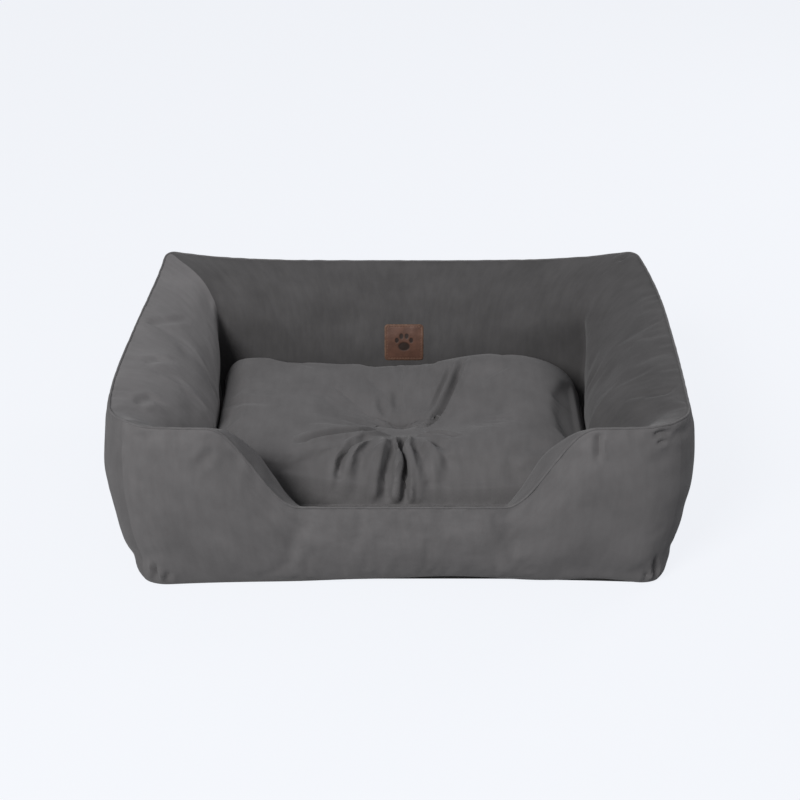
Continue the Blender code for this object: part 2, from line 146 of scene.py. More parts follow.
def layer_of(mesh, name):
    layer = mesh.attributes[name]
    values = np.zeros(len(mesh.vertices), np.int32 if layer.data_type == "INT" else float)
    layer.data.foreach_get("value", values)
    return values


def number_grid(mesh, rows, columns):
    """Numbers the points of a grid whose last column will be sewn to its first."""
    store(mesh, "column", np.tile(np.arange(columns + 1) % columns, rows), "INT")
    store(mesh, "row", np.repeat(np.arange(rows), columns + 1), "INT")


def rows_of(mesh, rows):
    """The points of such a grid, row by row, in the order of their numbers."""
    order = np.lexsort((layer_of(mesh, "column"), layer_of(mesh, "row")))
    return points_of(mesh)[order].reshape(rows, -1, 3)


# %% [markdown]
# ## The camera
#
# The bed is seen from the front and from nearly 28 degrees above, through a long lens, so that its
# front and back are almost the same width. The camera is made first, because everything else is
# judged through it.

# %% Place the camera
AIM = Vector((-0.002, 0.0, 0.128))
CAMERA_DISTANCE = 1.954
CAMERA_RISE = math.radians(27.9)
LENS_MM = 69.2


def make_camera():
    offset = Vector((0.0, -math.cos(CAMERA_RISE), math.sin(CAMERA_RISE))) * CAMERA_DISTANCE
    bpy.ops.object.camera_add(location=AIM + offset, rotation=(math.radians(90) - CAMERA_RISE, 0, 0))
    camera = bpy.context.object
    camera.name = "camera"
    camera.data.lens = LENS_MM
    camera.data.sensor_width = 36
    camera.data.clip_end = 50
    bpy.context.scene.camera = camera
    return camera


camera = make_camera()
print("camera at", [round(v, 3) for v in camera.location])

# %% [markdown]
# ## The floor and the light
#
# The bed stands in a bright white studio. The floor gives off part of its light, so that the bed
# casts only a faint shadow. The camera sees the floor and the sky glow alike, while the bed gets
# less light from them. One broad lamp hangs in front, to the left and above, and a weaker one fills
# in from behind on the right.

# %% Floor, sky and lamps
FLOOR_SIZE = 30.0
FLOOR_GREY = 0.09
PALE = (0.885, 0.905, 0.95, 1.0)
GLOW_SEEN = 0.940
SKY_GLOW_ON_BED = 0.30
FLOOR_GLOW_ON_BED = 0.22


def set_glow(tree, strength, on_bed):
    """Gives a glow one strength for the bed and another, the same everywhere, for the camera."""
    eye = tree.nodes.new("ShaderNodeLightPath").outputs["Is Camera Ray"]
    glow = tree.nodes.new("ShaderNodeMapRange")
    glow.inputs["To Min"].default_value = on_bed
    glow.inputs["To Max"].default_value = GLOW_SEEN
    tree.links.new(eye, glow.inputs["Value"])
    tree.links.new(glow.outputs[0], strength)


def make_floor():
    bpy.ops.mesh.primitive_plane_add(size=FLOOR_SIZE, location=(0, 0, 0))
    floor = bpy.context.object
    floor.name = "studio_floor"
    stuff = bpy.data.materials.new("studio_floor")
    stuff.use_nodes = True
    shader = stuff.node_tree.nodes["Principled BSDF"]
    shader.inputs["Base Color"].default_value = (FLOOR_GREY, FLOOR_GREY, FLOOR_GREY, 1.0)
    shader.inputs["Roughness"].default_value = 1.0
    shader.inputs["Specular IOR Level"].default_value = 0.0
    shader.inputs["Emission Color"].default_value = PALE
    set_glow(stuff.node_tree, shader.inputs["Emission Strength"], FLOOR_GLOW_ON_BED)
    floor.data.materials.append(stuff)


def make_lamp(name, place, size, power):
    bpy.ops.object.light_add(type="AREA", location=place)
    lamp = bpy.context.object
    lamp.name = name
    lamp.data.shape = "DISK"
    lamp.data.size = size
    lamp.data.energy = power
    lamp.rotation_euler = (Vector(place) * -1).to_track_quat("-Z", "Y").to_euler()


def make_sky():
    world = bpy.data.worlds.new("studio")
    world.use_nodes = True
    background = world.node_tree.nodes["Background"]
    background.inputs["Color"].default_value = PALE
    set_glow(world.node_tree, background.inputs["Strength"], SKY_GLOW_ON_BED)
    bpy.context.scene.world = world


make_floor()
make_sky()
make_lamp("key_lamp", place=(-1.45, -2.65, 2.3), size=1.4, power=100)
make_lamp("right_lamp", place=(2.0, 1.2, 1.15), size=1.2, power=16)
bpy.context.scene.view_settings.view_transform = "Standard"

# %% [markdown]
# ## Brushed cloth
#
# The cover is a matt microfibre. Up close it is a fine plain weave under a short brushed nap. From
# further off the nap shows as soft patches, lighter where it was stroked one way and darker where
# it was stroked the other. Both effects go in one node group, so that each cloth on the bed uses it
# with its own colours and sizes. It reads coordinates in metres, which every cover here gives as
# its UV map.


# %% Node helpers and the cloth group
RESULTS = {"Color": "NodeSocketColor", "Roughness": "NodeSocketFloat", "Normal": "NodeSocketVector"}


class Group:
    """A shader node group in the making, with short ways to add and join its nodes.

    Every group takes a place, besides its own inputs, and gives a colour, a roughness and a normal.
    """

    def __init__(self, name, *inputs):
        self.tree = bpy.data.node_groups.new(name, "ShaderNodeTree")
        sockets = self.tree.interface
        sockets.new_socket("Place", in_out="INPUT", socket_type="NodeSocketVector")
        for label, kind, value in inputs:
            sockets.new_socket(label, in_out="INPUT", socket_type=kind).default_value = value
        for label, kind in RESULTS.items():
            sockets.new_socket(label, in_out="OUTPUT", socket_type=kind)
        self.given = self.tree.nodes.new("NodeGroupInput").outputs
        self.result = self.tree.nodes.new("NodeGroupOutput").inputs

    def add(self, kind, links, **settings):
        """A node with its settings, whose inputs take a socket or a plain value."""
        node = self.tree.nodes.new(kind)
        for key, value in settings.items():
            setattr(node, key, value)
        for key, value in links.items():
            if isinstance(value, bpy.types.NodeSocket):
                self.tree.links.new(value, node.inputs[key])
            else:
                node.inputs[key].default_value = value
        return node

    def math(self, operation, a, b=0.0):
        return self.add("ShaderNodeMath", {0: a, 1: b}, operation=operation).outputs[0]

    def noise(self, place, scale, detail=2.0, roughness=0.5, stretch=(1, 1, 1)):
        mapped = self.add("ShaderNodeMapping", {"Vector": place, "Scale": stretch}).outputs[0]
        links = {"Vector": mapped, "Scale": scale, "Detail": detail, "Roughness": roughness}
        return self.add("ShaderNodeTexNoise", links).outputs["Fac"]

    def remap(self, value, low, high, to_low=0.0, to_high=1.0):
        links = {"Value": value, "From Min": low, "From Max": high, "To Min": to_low, "To Max": to_high}
        return self.add("ShaderNodeMapRange", links).outputs[0]

    def blend(self, share, first, second):
        return self.add("ShaderNodeMix", {0: share, 6: first, 7: second}, data_type="RGBA").outputs[2]

    def brighten(self, colour, value):
        return self.add("ShaderNodeHueSaturation", {"Color": colour, "Value": value}).outputs[0]

    def bump(self, height, strength, distance):
        links = {"Height": height, "Strength": strength, "Distance": distance}
        return self.add("ShaderNodeBump", links).outputs[0]

    def give(self, **results):
        for label, socket in results.items():
            self.tree.links.new(socket, self.result[label])


def make_cloth_group():
    group = Group(
        "Brushed cloth",
        ("Nap Up", "NodeSocketColor", (0.14, 0.135, 0.135, 1)),
        ("Nap Down", "NodeSocketColor", (0.11, 0.105, 0.106, 1)),
        ("Patch Size", "NodeSocketFloat", 0.05),
        ("Thread Size", "NodeSocketFloat", 0.0009),
        ("Relief", "NodeSocketFloat", 0.35),
    )
    place = group.given["Place"]
    patch_scale = group.math("DIVIDE", 1.0, group.given["Patch Size"])
    patches = group.noise(place, patch_scale, 3.0, 0.55)
    strokes = group.noise(place, patch_scale, 4.0, 0.6, stretch=(5.0, 1.3, 1.0))
    fibres = group.noise(place, 1400.0, 3.0, 0.7)
    spread = group.math("ADD", group.math("MULTIPLY", patches, 0.6), group.math("MULTIPLY", strokes, 0.4))
    cloth_tone = group.remap(spread, 0.36, 0.64)
    fleck = group.remap(fibres, 0.3, 0.7, 0.9, 1.1)
    stroked = group.blend(cloth_tone, group.given["Nap Down"], group.given["Nap Up"])
    bright = group.brighten(stroked, fleck)
    turns = group.math("DIVIDE", 2 * math.pi, group.given["Thread Size"])
    axes = group.add("ShaderNodeSeparateXYZ", {0: place}).outputs
    warp = group.math("SINE", group.math("MULTIPLY", axes[0], turns))
    weft = group.math("SINE", group.math("MULTIPLY", axes[1], turns))
    weave = group.math("MULTIPLY", warp, weft)
    relief = group.math("ADD", group.math("MULTIPLY", weave, 0.35), fibres)
    group.give(
        Color=bright,
        Roughness=group.remap(cloth_tone, 0.0, 1.0, 0.95, 0.82),
        Normal=group.bump(relief, group.given["Relief"], 0.0004),
    )
    return group.tree


CLOTH_GROUP = make_cloth_group()
print("cloth group has", len(CLOTH_GROUP.nodes), "nodes")


# %% [markdown]
# ## Materials
#
# `finish` starts a material with its own Principled shader and a group whose colour, roughness and
# normal feed that shader. Numbers that are the same all over, such as the sheen, are set on the
# shader itself. Some wall panels and the cushion get a lighter or a darker copy of the one charcoal
# cloth: painted light and painted shade, standing in for how the light falls on them.


# %% One function starts every material
def finish(name, group, place="UV", shader_values=None, **group_values):
    stuff = bpy.data.materials.new(name)
    stuff.use_nodes = True
    tree = stuff.node_tree
    shader = tree.nodes["Principled BSDF"]
    for label, value in (shader_values or {}).items():
        shader.inputs[label].default_value = value
    node = tree.nodes.new("ShaderNodeGroup")
    node.node_tree = group
    for label, value in group_values.items():
        node.inputs[label.replace("_", " ")].default_value = value
    where = tree.nodes.new("ShaderNodeTexCoord").outputs[place]
    tree.links.new(where, node.inputs["Place"])
    for source, target in (("Color", "Base Color"), ("Roughness", "Roughness"), ("Normal", "Normal")):
        tree.links.new(node.outputs[source], shader.inputs[target])
    return stuff


SOFT_SHEEN = {"Sheen Weight": 0.12, "Sheen Roughness": 0.5, "Specular IOR Level": 0.25}


def cloth(name, up, down, **values):
    """A cloth whose nap goes from one warm grey to another."""
    shades = {"Nap_Up": (up, up * 0.96, up * 0.966, 1), "Nap_Down": (down, down * 0.96, down * 0.966, 1)}
    return finish(name, CLOTH_GROUP, shader_values=SOFT_SHEEN, **shades, **values)


def small_cloth(name, up, down, patch, thread, relief):
    """A cloth on a small piece, which has no map of its own."""
    sizes = {"Patch_Size": patch, "Thread_Size": thread, "Relief": relief}
    return cloth(name, up, down, place="Object", **sizes)


CHARCOAL = cloth("charcoal_cloth", 0.140, 0.114)
# Lighter and darker copies of the charcoal cloth: painted light on the left inner and front outer panels,
# painted shade on the right and back inner panels.
PAINTED_LIGHT_CLOTH = cloth("charcoal_cloth_painted_light", 0.198, 0.165)
PAINTED_SHADE_CLOTH = cloth("charcoal_cloth_painted_shade", 0.096, 0.075)
PAINTED_LIGHT_FRONT_CLOTH = cloth("charcoal_cloth_front_painted_light", 0.160, 0.132)
# A slightly lighter copy of the charcoal cloth for the cushion's panels: painted light.
PAINTED_LIGHT_CUSHION_CLOTH = cloth("charcoal_cloth_cushion_painted_light", 0.142, 0.116)
SEAM_CLOTH = cloth("charcoal_seam", 0.150, 0.122, place="Object", Patch_Size=0.01)
THREAD = small_cloth("charcoal_thread", 0.110, 0.080, 0.004, 0.0006, 0.8)
ZIP_CLOTH = small_cloth("black_zip_tape", 0.024, 0.016, 0.01, 0.0005, 0.6)
UNDER_CLOTH = small_cloth("black_underside", 0.026, 0.017, 0.03, 0.0015, 0.6)
FIBRE = small_cloth("white_fibre", 0.84, 0.70, 0.02, 0.004, 1.0)
print("materials", [m.name for m in bpy.data.materials])

# %% [markdown]
# ## The wall covers
#
# The cover of the walls is one tube of cloth that runs round the bed: up the outer face, over the
# sewn ridge and down the inner face. It starts as a flat grid, as cloth does. Its columns run round
# the bed and its rows run over the wall, and a formula carries each point of the grid to its place.
# The grid keeps its UV map, so the weave follows the cloth wherever it goes.
#
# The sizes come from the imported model: the floor from the lining, the foot from the underside, and
# the ridge from the sewn seam along it.

# %% Sizes of the walls
SEAM_RADIUS = 0.0022
FLOOR_X, FLOOR_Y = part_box("base_lining")[1].xy
FOOT_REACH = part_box("base_underside")[1].x - FLOOR_X
SIDE_BOW = 0.013
BOW_RISE = 0.080
RIDGE_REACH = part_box("ridge_seam")[1].x - SEAM_RADIUS - FLOOR_X - SIDE_BOW
PEAK_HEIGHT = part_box("ridge_seam")[1].z - SEAM_RADIUS
ENTRY_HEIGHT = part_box("ridge_seam")[0].z + SEAM_RADIUS
FLOOR_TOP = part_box("base_lining")[1].z
WALL_HEIGHT = PEAK_HEIGHT - 0.014
FRONT_PEAK = 0.004
ENTRY_TOP_HALF = 0.222
ENTRY_FLAT_HALF = 0.125
OUTER_SWELL = 0.015
FOOT_FLARE = 0.009
FLARE_HEIGHT = 0.04
FOOT_TUCK = 0.003
SIDE_LEAN = {"left": -0.008, "right": 0.008}
SWELL_SHARES = (0.0, 0.3, 0.6, 0.85, 1.0)
INNER_SWELL = {
    "left": (0.030, 0.064, 0.060, 0.052, 0.046),
    "right": (0.030, 0.058, 0.060, 0.055, 0.046),
    "front": (0.030, 0.030, 0.030, 0.030, 0.030),
    "back": (0.046, 0.040, 0.039, 0.042, 0.046),
}
SWELL_PEAK = {
    "left": (0.42, 0.44, 0.42, 0.33, 0.24),
    "right": (0.42, 0.44, 0.43, 0.35, 0.24),
    "front": (0.42, 0.42, 0.42, 0.42, 0.42),
    "back": (0.24, 0.30, 0.34, 0.30, 0.24),
}
FRONT_ROUNDING = 0.036
FOOT_CORNER, SWELL_CORNER, RIDGE_CORNER, HEEL_CORNER = 0.034, 0.026, 0.013, 0.006
print("half floor", [round(v, 4) for v in (FLOOR_X, FLOOR_Y)])
print("reach of foot and ridge", [round(v, 4) for v in (FOOT_REACH, RIDGE_REACH)])
print("heights", [round(v, 4) for v in (ENTRY_HEIGHT, WALL_HEIGHT, PEAK_HEIGHT)])


# %% The wall's height and its cross-section
def wall_height(side, s):
    """Height of the ridge at s, the share of the way along a wall."""
    at_back = side == "back" or (side != "front" and s > 0.5)
    peak = PEAK_HEIGHT - WALL_HEIGHT if at_back else FRONT_PEAK
    height = WALL_HEIGHT + peak * abs(2 * s - 1) ** 4
    if side == "front":
        x = abs(2 * s - 1) * (FLOOR_X + RIDGE_REACH)
        down = min(1.0, max(0.0, (ENTRY_TOP_HALF - x) / (ENTRY_TOP_HALF - ENTRY_FLAT_HALF)))
        height -= (WALL_HEIGHT - ENTRY_HEIGHT) * down * down * (3 - 2 * down)
    return height


def outer_face(t, height, flare=0.0):
    """Reach, height and corner radius from the foot, t = 0, to the ridge, t = 1. The foot tucks under."""
    grown = min(1.0, height / WALL_HEIGHT)
    swollen = max(0.0, math.sin(math.pi * t**1.1)) ** 0.85
    reach = FOOT_REACH + (RIDGE_REACH - FOOT_REACH) * grown * t + OUTER_SWELL * grown * swollen
    z = height * t
    reach += flare * math.exp(-z / FLARE_HEIGHT)
    tuck = FOOT_TUCK * math.exp(-z / FOOT_TUCK)
    corner = FOOT_CORNER + (RIDGE_CORNER - FOOT_CORNER) * t + SWELL_CORNER * swollen
    return reach - tuck, max(z, 0.001), corner


def inner_face(t, height, swell, peak):
    """The same from the ridge, t = 0, down to the heel, t = 1, where the wall meets the bed's floor.

    The stuffing has climbed, so the face swells most at the peak, which is nearer to the ridge.
    """
    top_reach, top_z, top_corner = outer_face(1.0, height)
    run, drop = -top_reach, FLOOR_TOP - top_z
    length = math.hypot(run, drop)
    full = (t / peak) ** 0.9 * (max(0.0, 1 - t) / (1 - peak)) ** (0.9 * (1 - peak) / peak)
    proud = swell * height / WALL_HEIGHT * full
    reach = top_reach + run * t + proud * drop / length
    z = top_z + drop * t - proud * run / length
    return reach, z, top_corner + (HEEL_CORNER - top_corner) * t


def turn_corner(share, half_along, half_across, corner):
    """How far along the wall and across the bed a share of the way to the wall's end leads."""
    straight = half_along - corner
    way = share * (straight + corner * math.pi / 4)
    if way <= straight:
        return way, half_across
    angle = (way - straight) / corner
    return straight + corner * math.sin(angle), half_across - corner * (1 - math.cos(angle))


def side_bow(side, share, z):
    """How far a side wall bows outwards: the left one most at the front, the right one at the back."""
    rise = min(1.0, z / BOW_RISE)
    lean = SIDE_LEAN[side] * share * (1 - abs(share) ** 3)
    return (SIDE_BOW * (1 - abs(share) ** 3) + lean) * rise * (2 - rise)


def place(side, s, point):
    reach, z, corner = point
    half_x, half_y = FLOOR_X + reach, FLOOR_Y + reach
    share = 2 * s - 1
    if side == "front" or (side != "back" and s < 0.5):
        corner += FRONT_ROUNDING * min(1.0, z / WALL_HEIGHT) ** 2
    if side in ("front", "back"):
        along, across = turn_corner(abs(share), half_x, half_y, corner)
        return math.copysign(along, share), -across if side == "front" else across, z
    along, across = turn_corner(abs(share), half_y, half_x, corner)
    across += side_bow(side, share, z)
    return -across if side == "left" else across, math.copysign(along, share), z


# %% Rows and columns of the grid
OUTER_ROWS = 32
INNER_ROWS = 34
COLUMNS = {"front": 104, "right": 76, "back": 96, "left": 76}
BACKWARDS = ("back", "left")


def column_places():
    """The wall and the share along it of each column, going round the bed from the front left corner."""
    places = []
    for side, count in COLUMNS.items():
        shares = [k / count for k in range(count)]
        places += [(side, 1 - s if side in BACKWARDS else s) for s in shares]
    return places


def row_shares(count):
    """Shares up a face, with rows closer together towards the ridge."""
    return [1 - (1 - k / count) ** 1.2 for k in range(count + 1)]


def section(side, s):
    """All the points of one column, from the outer foot over the ridge to the inner heel."""
    height = wall_height(side, s)
    swell = np.interp(s, SWELL_SHARES, INNER_SWELL[side])
    peak = np.interp(s, SWELL_SHARES, SWELL_PEAK[side])
    flare = FOOT_FLARE * (abs(2 * s - 1) ** 4 if side in ("front", "back") else 1.0)
    outer = [outer_face(t, height, flare) for t in row_shares(OUTER_ROWS)]
    inner = [inner_face(1 - t, height, swell, peak) for t in row_shares(INNER_ROWS)[::-1]]
    return outer + inner[1:]


PLACES = column_places()
RING = len(PLACES)
ROWS = OUTER_ROWS + INNER_ROWS + 1
print(RING, "columns of", ROWS, "points")


# %% Roll the grid round the bed
def lay_out_cloth(mesh, across, down):
    """Sets the UV map to lengths in metres, so that a weave has the same pitch all over."""
    uv = mesh.uv_layers.active.data
    flat = np.zeros(len(uv) * 2)
    uv.foreach_get("uv", flat)
    flat = flat.reshape(-1, 2) * (across, down)
    uv.foreach_set("uv", flat.ravel())


def make_ring():
    ring = make_grid("wall_covers", RING, ROWS - 1)
    columns = [[place(side, s, p) for p in section(side, s)] for side, s in PLACES]
    columns.append(columns[0])
    grid = np.array(columns).transpose(1, 0, 2)
    around = np.linalg.norm(np.diff(grid[OUTER_ROWS], axis=0), axis=1).sum()
    over = np.linalg.norm(np.diff(grid[:, 0], axis=0), axis=1).sum()
    set_points(ring.data, grid.reshape(-1, 3))
    lay_out_cloth(ring.data, around, over)
    number_grid(ring.data, ROWS, RING)
    edit_all(ring, bpy.ops.mesh.remove_doubles, threshold=0.00001)
    print("wall covers:", len(ring.data.vertices), "points")
    print("metres round and over:", round(around, 3), round(over, 3))
    return ring


ring = make_ring()

# %% [markdown]
# ## Stuffing the walls
#
# A real wall gets its shape when its tube of cloth is filled: the cloth swells between the rows
# where it is sewn down, and the little extra cloth in it turns to wrinkles beside the seams.
# Blender's cloth does the same. The foot, the ridge and the heel are pinned, pressure stands in for
# the stuffing, and gravity is off. The result is read back as plain points, so that no cloth stays
# on the piece, and no point may move further than its cap.


# %% Inflate a pinned cover
def inflate(obj, pinned, pressure, spare, cap, frames=20, bending=0.3):
    """Swells the cover. Pinned points hold still, and spare is the share of extra cloth."""
    start = points_of(obj.data)
    group = obj.vertex_groups.new(name="pins")
    group.add([int(k) for k in np.flatnonzero(pinned)], 1.0, "REPLACE")
    cloth = obj.modifiers.new("cloth", "CLOTH")
    cloth.settings.quality = 5
    cloth.settings.mass = 0.3
    cloth.settings.bending_stiffness = bending
    cloth.settings.use_pressure = True
    cloth.settings.uniform_pressure_force = pressure
    cloth.settings.shrink_min = -spare
    cloth.settings.vertex_group_mass = "pins"
    cloth.settings.effector_weights.gravity = 0.0
    cloth.point_cache.frame_end = frames
    scene = bpy.context.scene
    for step in range(1, frames + 1):
        scene.frame_set(step)
    swollen = obj.evaluated_get(bpy.context.evaluated_depsgraph_get())
    moved = points_of(swollen.data) - start
    obj.modifiers.remove(cloth)
    obj.vertex_groups.remove(group)
    scene.frame_set(1)
    length = np.maximum(np.linalg.norm(moved, axis=1), 1e-9)
    kept = cap * np.tanh(length / cap) / length
    set_points(obj.data, start + moved * kept[:, None])
    print(obj.name, "moved in mm:", [round(float(v) * 1000, 1) for v in (length.mean(), length.max())])


# %% Stuff the walls
WALL_PRESSURE = 3.0
WALL_SPARE = 0.012
OUTER_CAP = 0.005
INNER_CAP = 0.004
row = layer_of(ring.data, "row")
pinned = (row <= 2) | (row == OUTER_ROWS) | (row == ROWS - 1)
inflate(ring, pinned, WALL_PRESSURE, WALL_SPARE, np.where(row < OUTER_ROWS, OUTER_CAP, INNER_CAP))

# %% [markdown]
# ## Folds, puckers and lumps
#
# The stuffing gives the broad shape. The small marks that make it look sewn and used are added by
# moving points along their normals: `crease` presses a fold along a path and raises a shoulder on
# each side of it, as pinched cloth does. Puckers run across the ridge seam, where thread gathers
# the cloth, and slow lumps lie over the faces, where the fibre has settled. The cover is subdivided
# once first, so that it has points enough.


# %% Creases and other helpers for cloth
def tree_of(obj):
    obj.data.calc_loop_triangles()
    corners = [tuple(t.vertices) for t in obj.data.loop_triangles]
    return BVHTree.FromPolygons([tuple(v.co) for v in obj.data.vertices], corners)


def along_path(points, path):
    """Each point's distance from a path, and the share of the way along it of the nearest place."""
    nearest = np.full(len(points), 1e9)
    share = np.zeros(len(points))
    lengths = np.linalg.norm(np.diff(path, axis=0), axis=1)
    done = 0.0
    for start, end, length in zip(path, path[1:], lengths):
        line = end - start
        t = np.clip((points - start) @ line / length**2, 0, 1)
        away = np.linalg.norm(points - start - t[:, None] * line, axis=1)
        closer = away < nearest
        nearest[closer] = away[closer]
        share[closer] = ((done + t * length) / lengths.sum())[closer]
        done += length
    return nearest, share


def crease(obj, path, depth, width, shoulder=0.35, tail=0.4):
    """Presses a fold into the cloth. It fades in quickly, and out over the tail, a share of it."""
    surface = tree_of(obj)
    path = np.array([surface.find_nearest(Vector(p))[0] for p in path])
    points = points_of(obj.data)
    away, share = along_path(points, path)
    away = away / width
    fade = ease(share / 0.22) * ease((1 - share) / tail)
    press = -np.exp(-(away**2)) + shoulder * np.exp(-(((away - 1.9) / 0.8) ** 2))
    set_points(obj.data, points + normals_of(obj.data) * (depth * fade * press)[:, None])


def subdivide(obj):
    modifier = obj.modifiers.new("finer", "SUBSURF")
    modifier.levels = modifier.render_levels = 1
    apply_modifiers(obj)


# %% Number the points by their angle, which survives subdivision
def remember_places(mesh):
    turn = 2 * math.pi * layer_of(mesh, "column") / RING
    store(mesh, "turn_cos", np.cos(turn))
    store(mesh, "turn_sin", np.sin(turn))
    store(mesh, "over", layer_of(mesh, "row"))


def columns_of(mesh, corners=None):
    """The fractional column of each point, or of each face if its corners are given."""
    sine, cosine = layer_of(mesh, "turn_sin"), layer_of(mesh, "turn_cos")
    if corners is not None:
        sine, cosine = sine[corners].mean(axis=1), cosine[corners].mean(axis=1)
    return np.arctan2(sine, cosine) / (2 * math.pi) * RING % RING


stuffed = rows_of(ring.data, ROWS)
remember_places(ring.data)
subdivide(ring)
print("wall covers now have", len(ring.data.polygons), "faces")

# %% Puckers along the ridge, lumps over the faces and a wavy foot
PUCKER_HEIGHT = 0.0016
PUCKER_REACH = 0.014
LUMP_HEIGHT = 0.0028
FOOT_LIFTS = ((0.06, 0.085, 0.0042), (0.235, 0.05, 0.0035), (-0.06, 0.05, 0.0012))


def ridge_at(columns):
    """The ridge's place, and the length along it, at fractional columns."""
    ridge = stuffed[OUTER_ROWS]
    closed = np.vstack([ridge, ridge[:1]])
    steps = np.concatenate([[0.0], np.cumsum(np.linalg.norm(np.diff(closed, axis=0), axis=1))])
    spots = np.arange(RING + 1)
    places = np.stack([np.interp(columns, spots, closed[:, k]) for k in range(3)], axis=1)
    return places, np.interp(columns, spots, steps)


def ruffle(obj):
    mesh = obj.data
    points, normals = points_of(mesh), normals_of(mesh)
    spot, along = ridge_at(columns_of(mesh))
    away = np.linalg.norm(points - spot, axis=1)
    strips = np.stack([along / 0.011, away / 0.045, layer_of(mesh, "over") / 200], axis=1)
    gathers = wobble(strips, 1.0, 3) * np.exp(-away / PUCKER_REACH) * (1 - np.exp(-((away / 0.003) ** 2)))
    inside = 1 - np.exp(-away / 0.03)
    lumps = wobble(points * (1, 1, 1.6), 0.075, 5) + 0.35 * wobble(points, 0.03, 9)
    grounded = ease(points[:, 2] / 0.03)
    move = PUCKER_HEIGHT * gathers + LUMP_HEIGHT * lumps * inside * grounded
    points = points + normals * move[:, None]
    front = ease((-points[:, 1] - 0.18) / 0.02)
    for x, width, lift in FOOT_LIFTS:
        low = np.exp(-points[:, 2] / 0.02) * np.exp(-(((points[:, 0] - x) / width) ** 2)) * front
        points[:, 2] += lift * low
        points[:, 1] += 1.2 * lift * low
    points[:, 2] = np.maximum(points[:, 2], 0.0008)
    set_points(mesh, points)


ruffle(ring)
print("lowest point", round(float(points_of(ring.data)[:, 2].min()), 5))

# %% Folds in the wall covers
WALL_FOLDS = [
    (((-0.325, 0.038, 0.211), (-0.305, 0.069, 0.196), (-0.285, 0.108, 0.178)), 0.003, 0.005),
    (((-0.317, -0.062, 0.202), (-0.303, -0.037, 0.192), (-0.286, -0.022, 0.176)), 0.003, 0.005),
    (((-0.315, -0.156, 0.2), (-0.303, -0.127, 0.187), (-0.288, -0.116, 0.171)), 0.0034, 0.0055),
    (((0.294, -0.12, 0.186), (0.311, -0.137, 0.203), (0.326, -0.127, 0.215)), 0.0026, 0.0045),
    (((0.282, -0.096, 0.173), (0.299, -0.12, 0.192)), 0.0024, 0.0045),
    (((0.29, 0.119, 0.174), (0.27, 0.165, 0.148)), 0.0024, 0.006),
    (((0.217, -0.243, 0.217), (0.217, -0.252, 0.2), (0.219, -0.257, 0.178)), 0.0045, 0.0038),
    (((0.278, -0.245, 0.213), (0.292, -0.245, 0.214), (0.304, -0.243, 0.21)), 0.004, 0.0034),
    (((0.284, -0.25, 0.205), (0.3, -0.248, 0.203)), 0.003, 0.0032),
    (((0.31, 0.232, 0.224), (0.303, 0.226, 0.214), (0.3, 0.222, 0.206)), 0.0045, 0.0036),
    (((-0.29, -0.226, 0.004), (-0.289, -0.23, 0.02), (-0.288, -0.233, 0.04)), 0.0052, 0.0036),
    (((-0.276, -0.236, 0.004), (-0.272, -0.24, 0.024)), 0.0032, 0.0036),
    (((0.3, -0.222, 0.004), (0.299, -0.228, 0.024), (0.296, -0.233, 0.05)), 0.0052, 0.0036),
    (((0.29, -0.232, 0.004), (0.286, -0.236, 0.022)), 0.0034, 0.0036),
    (((-0.29, 0.226, 0.004), (-0.291, 0.23, 0.034)), 0.0048, 0.0038),
    (((0.29, 0.226, 0.004), (0.292, 0.23, 0.04)), 0.0048, 0.0038),
    (((-0.09, 0.25, 0.19), (-0.07, 0.256, 0.15), (-0.062, 0.256, 0.11)), 0.0026, 0.007),
    (((0.15, 0.248, 0.2), (0.163, 0.256, 0.16), (0.16, 0.258, 0.12)), 0.0026, 0.007),
    (((0.344, 0.12, 0.18), (0.35, 0.1, 0.14)), 0.0024, 0.007),
    (((-0.344, 0.06, 0.19), (-0.35, 0.04, 0.15)), 0.0024, 0.007),
    (((-0.205, -0.246, 0.196), (-0.235, -0.252, 0.17)), 0.0018, 0.006),
]
for path, depth, width in WALL_FOLDS:
    crease(ring, path, depth, width)
print(len(WALL_FOLDS), "folds")

# %% [markdown]
# ## Cutting the tube into panels
#
# Each wall has an outer and an inner panel, so the tube is cut into eight pieces at the ridge and
# the corners. They keep their swollen shape, which they could not if each were stuffed alone. Each
# is then given the thickness of its cloth, inwards, so that its visible face stays where it is.

# %% Cut out the eight panels
CLOTH_THICK = 0.0012
WALLS = list(COLUMNS)
WALL_STARTS = np.cumsum([0] + list(COLUMNS.values()))


def panel_of_faces(mesh):
    """0 to 7 for each face: twice its wall's number, and one more on the inside."""
    counts = len(mesh.polygons)
    first = np.zeros(counts, np.int32)
    mesh.polygons.foreach_get("loop_start", first)
    loops = np.zeros(len(mesh.loops), np.int32)
    mesh.loops.foreach_get("vertex_index", loops)
    corners = loops[first[:, None] + np.arange(4)]
    wall = np.searchsorted(WALL_STARTS, columns_of(mesh, corners), side="right") - 1
    return wall * 2 + (layer_of(mesh, "over")[corners].mean(axis=1) > OUTER_ROWS)


def cut_panel(whole, number, name):
    """Moves one panel's faces into an object of their own."""
    panel = whole.copy()
    panel.data = whole.data.copy()
    panel.name = panel.data.name = name
    bpy.context.collection.objects.link(panel)
    unwanted = panel_of_faces(panel.data) != number
    pick(panel)
    bpy.ops.object.mode_set(mode="EDIT")
    bpy.ops.mesh.select_all(action="DESELECT")
    bpy.ops.object.mode_set(mode="OBJECT")
    panel.data.polygons.foreach_set("select", unwanted)
    bpy.ops.object.mode_set(mode="EDIT")
    bpy.ops.mesh.select_mode(type="FACE")
    bpy.ops.mesh.delete(type="FACE")
    bpy.ops.object.mode_set(mode="OBJECT")
    return panel


